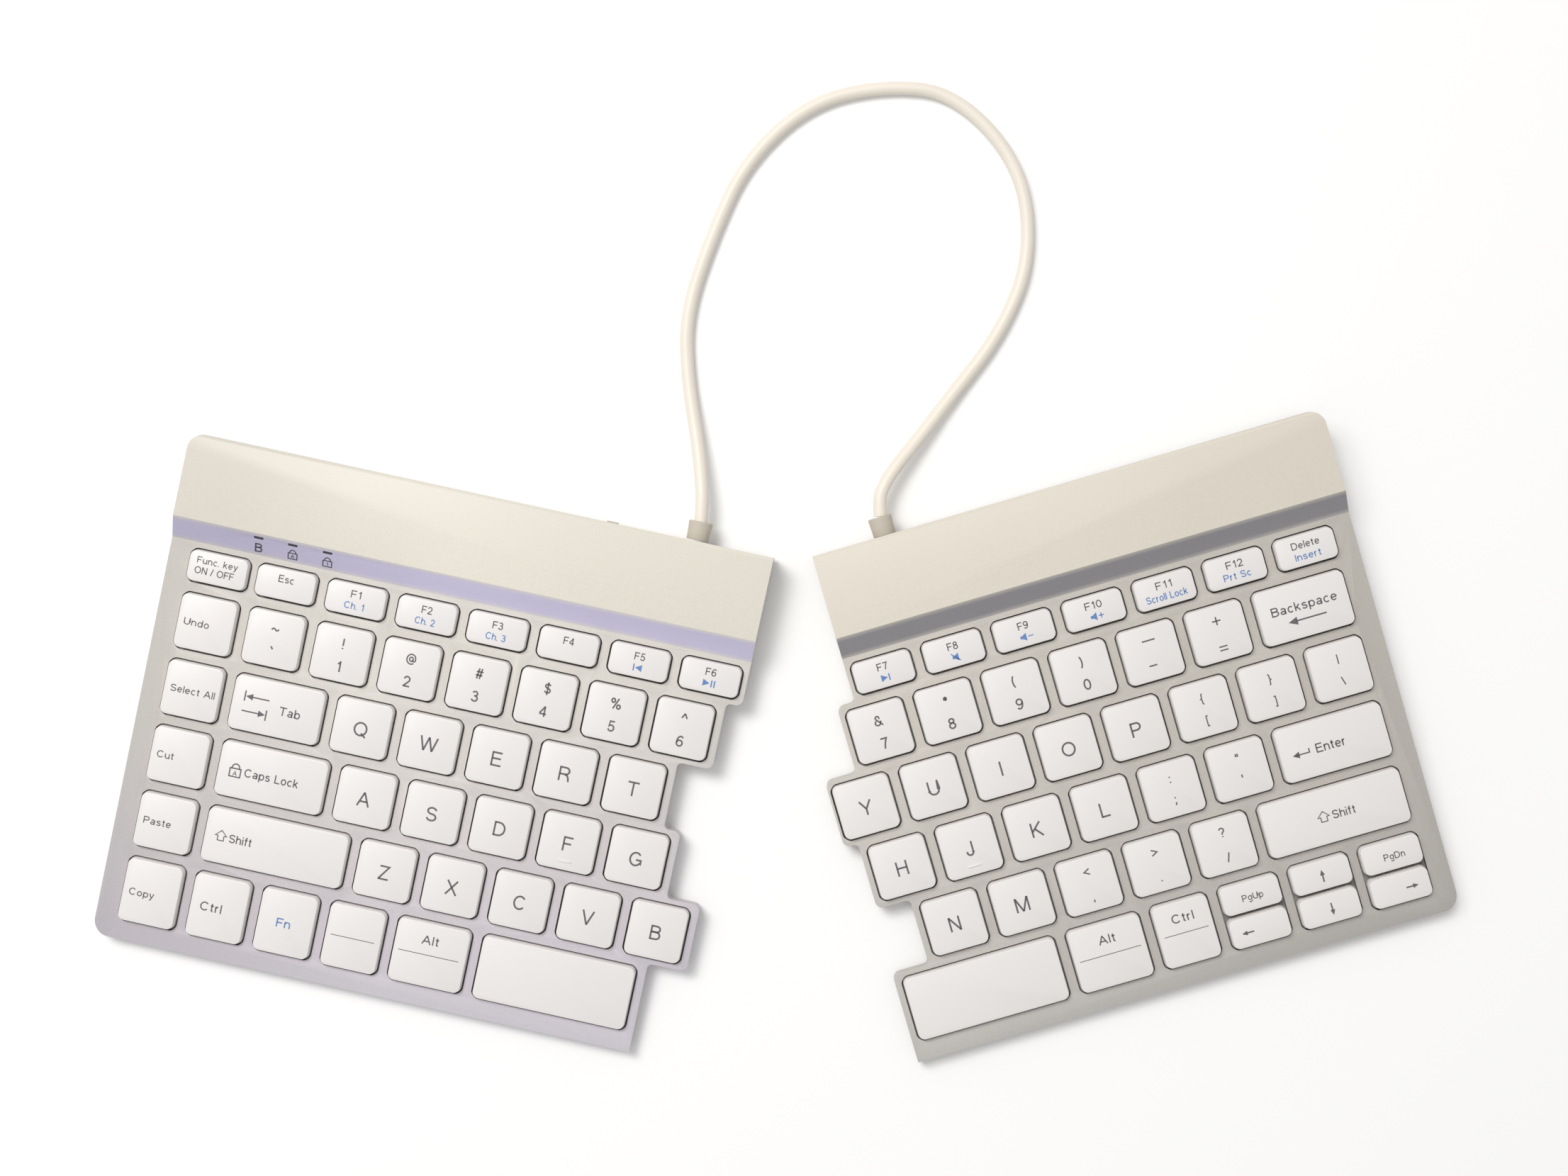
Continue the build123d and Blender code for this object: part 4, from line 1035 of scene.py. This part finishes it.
group = "keys_right_number_row"
for i, (upper, lower) in enumerate(["&7", "*8", "(9", ")0"]):
    print_text(group, upper, i * KEY_PITCH + 0.1, 3.0, 2.8)
    print_text(group, lower, i * KEY_PITCH + 0.1, -3.3, 3.0)
print_shape(group, [bar(-1.8, 0, 1.8, 0, 0.4)], 4 * KEY_PITCH + 0.1, 3.5)
print_shape(group, [bar(-1.1, 0, 1.1, 0, 0.42)], 4 * KEY_PITCH - 0.4, -3.4)
plus_sign = [bar(-1.15, 0, 1.15, 0, 0.4), bar(0, -1.15, 0, 1.15, 0.4)]
print_shape(group, plus_sign, 5 * KEY_PITCH + 0.1, 3.4)
equals_sign = [bar(-1.15, y, 1.15, y, 0.38) for y in (0.5, -0.5)]
print_shape(group, equals_sign, 5 * KEY_PITCH + 0.1, -4.2)

group = "keys_right_punctuation"
pairs = [(4.5 + i, 1, pair, 3.0, -3.1, 2.3) for i, pair in enumerate(("{[", "}]", "|\\"))]
pairs += [(3.75 + i, 2, pair, 3.2, -2.6, 2.7) for i, pair in enumerate((":;", "\"'"))]
pairs += [(2.25 + i, 3, pair, 3.6, -3.4, 2.6) for i, pair in enumerate(("<,", ">.", "?/"))]
for column, line, (upper, lower), high, low, size in pairs:
    print_text(group, upper, column * KEY_PITCH + 0.1, -line * ROW_PITCH + high, size)
    print_text(group, lower, column * KEY_PITCH + 0.1, -line * ROW_PITCH + low, size)

group = "keys_right_wide"
print_text(group, "Backspace", 6.25 * KEY_PITCH + 0.2, 1.2, WORD_HEIGHT, width=18.2)
print_shape(group, arrow(10.6, 2.5, 0.42, radians(180)), 6.25 * KEY_PITCH + 0.2, -2.6)
enter_x, enter_y = 6.125 * KEY_PITCH, -2 * ROW_PITCH
hook = ("line", 0.36, [(-1.6, -0.55), (2.2, -0.55), (2.2, 0.6)])
print_shape(group, [hook, [(-0.6, 0.4), (-2.5, -0.55), (-0.6, -1.5)]], enter_x - 9.0, enter_y)
print_text(group, "Enter", enter_x - 4.9, enter_y - 0.1, 2.5, "LEFT", width=8.2)
shift_x, shift_y = 5.875 * KEY_PITCH, -3 * ROW_PITCH
print_shape(group, shift_mark(), shift_x - 3.2, shift_y)
print_text(group, "Shift", shift_x - 0.8, shift_y - 0.1, 2.3, "LEFT", width=6.4)

group = "keys_right_modifiers_and_arrows"
print_text(group, "Alt", RIGHT_ALT + 0.1, FRONT_ROW_Y + 4.2, WORD_HEIGHT, width=4.7)
print_shape(group, [bar(-8.6, 0, 8.6, 0, 0.2)], RIGHT_ALT, FRONT_ROW_Y)
print_text(group, "Ctrl", RIGHT_CONTROL, FRONT_ROW_Y + 4.2, WORD_HEIGHT, width=6.1)
print_shape(group, [bar(-6.2, 0, 6.2, 0, 0.2)], RIGHT_CONTROL, FRONT_ROW_Y)
print_text(group, "PgUp", ARROWS[0] + 0.3, -71.1, 1.8, width=5.8)
print_text(group, "PgDn", ARROWS[2] + 0.6, -71.1, 1.8, width=5.8)
for turn, x, y in (
    (90, ARROWS[1] + 0.3, -71.1), (180, ARROWS[0] - 3.5, -80.4),
    (-90, ARROWS[1] + 0.4, -80.5), (0, ARROWS[2] + 3.1, -80.5),
):
    print_shape(group, arrow(3.4, 1.5, 0.42, radians(turn)), x, y)

MARK_RISE = 0.06


def slope_matrix(x, y):
    """From a small flat drawing to its place on the slope of the left half."""
    climb = (SLOPE_TOP[1] - SLOPE_FOOT[1]) / (SLOPE_TOP[0] - SLOPE_FOOT[0])
    z = SLOPE_FOOT[1] + (y - SLOPE_FOOT[0]) * climb
    place = flat_matrix("left") @ move((x, y, z)) @ Matrix.Rotation(atan(climb), 4, "X")
    return place @ move((0, 0, MARK_RISE))


# Marks under the three indicator lights: B, a padlock with A and one with 1
print_text("left_half", "B", 0, 0, 2.7, ink=dark_ink, matrix=slope_matrix(9.9, 23.6))
for x, sign in ((19.4, "A"), (29.1, "1")):
    print_shape("left_half", lock_mark(2.9), 0, 0, dark_ink, slope_matrix(x, 23.6))
    print_text("left_half", sign, 0, 0, 1.1, ink=dark_ink, matrix=slope_matrix(x, 23.2))

inks = {m.name: m for m in (grey_ink, blue_ink, dark_ink)}
for (node_name, ink_name), objects in prints.items():
    legend = join(objects, node_name + "_" + ink_name.split("_")[1] + "_print")
    paint(legend, inks[ink_name])
    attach(legend, node_name)

# Raised bars on F and J that the forefingers find
HOMING_BAR = (3.8, 0.6, 0.5)
HOMING_ROUNDING = 0.22
HOMING_Y = -2 * ROW_PITCH - 5.0
for name, column in (("key_f", 5.75), ("key_j", 0.75)):
    deselect()
    bpy.ops.mesh.primitive_cube_add(size=1, location=(0, 0, 0))
    homing = active()
    homing.scale = HOMING_BAR
    bpy.ops.object.transform_apply(location=True, rotation=False, scale=True)
    mode("EDIT")
    bpy.ops.mesh.select_all(action="SELECT")
    bevel(HOMING_ROUNDING, 3)
    mode("OBJECT")
    smooth_below(radians(40))
    spot = move((column * KEY_PITCH, HOMING_Y, CAP_TOP))
    homing.data.transform(half_matrix(half_of[name]) @ spot)
    homing.name = name + "_homing_bar"
    paint(homing, cap_plastic)
    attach(homing, name)

# Link cable

CABLE_DIAMETER = 3.6
cable_line = [
    (-19.1, 58.9, 7.2), (-18.7, 63.9, 7.2), (-18.9, 69.3, 6.6), (-20.0, 80.2, 4.3), (-23.1, 98.6, 1.85),
    (-23.6, 116.8, 1.85), (-16.2, 138.4, 1.85), (-7.1, 158.3, 1.85), (10.2, 174.2, 1.85), (30.8, 178.9, 1.85),
    (50.5, 176.7, 1.85), (68.5, 156.8, 1.85), (71.2, 131.5, 1.85), (62.8, 110.9, 1.85), (48.9, 93.3, 2.3),
    (40.3, 82.0, 4.2), (33.1, 73.1, 6.2), (30.1, 67.7, 7.0), (29.52, 64.78, 7.2), (29.72, 60.68, 7.2),
]


def cable_curve(thick):
    curve = bpy.data.curves.new("cable_line", "CURVE")
    curve.dimensions = "3D"
    line = curve.splines.new("NURBS")
    line.points.add(len(cable_line) - 1)
    for point, (x, y, z) in zip(line.points, cable_line):
        point.co = (x * MM, y * MM, z * MM, 1)
    line.order_u = 3
    line.use_endpoint_u = True
    curve.resolution_u = 10
    if thick:
        curve.bevel_depth = CABLE_DIAMETER / 2 * MM
        curve.bevel_resolution = 6
        curve.use_fill_caps = True
    obj = linked("link_cable_jacket", curve)
    only(obj)
    bpy.ops.object.convert(target="MESH")
    return active()


thread = cable_curve(False)
bpy.data.objects.remove(thread, do_unlink=True)
cable = cable_curve(True)
bpy.ops.object.shade_smooth()
paint(cable, cable_pvc)
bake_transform(cable)
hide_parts("link_cable")

# Strain reliefs: turned collars that widen a little to a soft lip round the cable

RELIEF_PROFILE = (
    (0.0, 2.9), (0.12, 3.02), (2.4, 3.12), (4.7, 3.28), (5.05, 3.24),
    (5.2, 3.05), (5.2, 2.2), (4.9, 2.0), (3.9, 1.84),
)


def strain_collar(half, root, axis):
    deselect()
    mode("OBJECT")
    bpy.ops.mesh.primitive_circle_add(vertices=48, radius=RELIEF_PROFILE[0][1] * MM, fill_type="NGON")
    collar = active()
    mode("EDIT")
    bpy.ops.mesh.select_all(action="SELECT")
    for (z, radius), (next_z, next_radius) in zip(RELIEF_PROFILE, RELIEF_PROFILE[1:]):
        bpy.ops.mesh.extrude_region_move(TRANSFORM_OT_translate={"value": (0, 0, (next_z - z) * MM)})
        share = next_radius / radius
        bpy.ops.transform.resize(value=(share, share, 1), center_override=(0, 0, next_z * MM))
    bpy.ops.mesh.select_all(action="SELECT")
    bpy.ops.mesh.normals_make_consistent(inside=False)
    mode("OBJECT")
    turn = Vector((0, 0, 1)).rotation_difference(Vector(axis)).to_matrix().to_4x4()
    collar.data.transform(move(Vector(root) * MM) @ turn)
    collar.name = half + "_relief_collar"
    smooth_below(radians(50))
    paint(collar, relief_tpe)
    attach(collar, half + "_half")
    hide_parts(half + "_strain_relief")


strain_collar("left", (-20.1, 54.1, 7.2), (0.2122, 0.9772, 0))
strain_collar("right", (30.98, 55.45, 7.2), (-0.2805, 0.9599, 0))

# Floor, light and camera

# Matt white table. Seen straight on, in gloss and through clear pieces it is plain
# white and keeps the shadow. What it throws back on the object is a little less.
FLOOR_LIFT = 0.06
SKY_STRENGTH = 0.475
floor_paint = bpy.data.materials.new("matt_white_table")
floor_paint.use_nodes = True
tree = floor_paint.node_tree
tree.nodes.clear()
ray = node(tree, "LightPath")
seen = ray.outputs["Is Camera Ray"]
for way in ("Is Glossy Ray", "Is Transmission Ray"):
    seen = node(tree, "Math", {"operation": "MAXIMUM"}, i0=seen, i1=ray.outputs[way]).outputs["Value"]
lit = node(tree, "BsdfDiffuse", Color=linear("ffffff"), Roughness=0.0)
lift = node(tree, "Emission", Color=linear("ffffff"), Strength=FLOOR_LIFT)
white = node(tree, "AddShader", i0=lit.outputs["BSDF"], i1=lift.outputs["Emission"])
plain = node(tree, "BsdfDiffuse", Color=linear("e9e9e9"), Roughness=0.0)
table = node(tree, "MixShader", i0=seen, i1=plain.outputs["BSDF"], i2=white.outputs["Shader"])
node(tree, "OutputMaterial", Surface=table.outputs["Shader"])
deselect()
bpy.ops.mesh.primitive_plane_add(size=6.0, location=(0, 0, 0))
floor = active()
floor.name = "table_top"
paint(floor, floor_paint)

world = bpy.data.worlds.new("studio")
bpy.context.scene.world = world
world.use_nodes = True
tree = world.node_tree
sky = tree.nodes["Background"]
sky.inputs["Color"].default_value = linear("ffffff")
sky.inputs["Strength"].default_value = SKY_STRENGTH


def area_light(name, place, side, power, colour):
    """A square window of light that faces the middle of the table."""
    data = bpy.data.lights.new(name, "AREA")
    data.shape = "RECTANGLE"
    data.size, data.size_y = side, side
    data.energy = power
    data.color = linear(colour)[:3]
    obj = linked(name, data)
    obj.location = place
    obj.rotation_euler = (-Vector(place)).to_track_quat("-Z", "Y").to_euler()


area_light("window", (-0.9, 1.3, 3.0), 1.2, 46.0, "fffdfa")
area_light("near_window", (-0.32, 0.3, 0.62), 0.26, 1.1, "ffffff")

# Camera, as solved from the caps' corners: millimetres, and pixels of the photograph
CAMERA_PLACE = (16.29, 44.97, 600.6)
FOCAL_LENGTH = 3074
FRAME_WIDTH = 2212
SENSOR_WIDTH = 36.0
CAMERA_TURN = (radians(0.37), radians(-1.23))

camera_data = bpy.data.cameras.new("camera")
camera_data.sensor_fit = "HORIZONTAL"
camera_data.sensor_width = SENSOR_WIDTH
camera_data.lens = FOCAL_LENGTH / FRAME_WIDTH * SENSOR_WIDTH
camera_data.clip_start = 0.01
camera = linked("camera", camera_data)
camera.location = [value * MM for value in CAMERA_PLACE]
look = Matrix.Rotation(CAMERA_TURN[0], 3, "X") @ Matrix.Rotation(CAMERA_TURN[1], 3, "Y")
camera.rotation_euler = look.transposed().to_euler()
bpy.context.scene.camera = camera
bpy.context.scene.view_settings.view_transform = "Standard"

deselect()
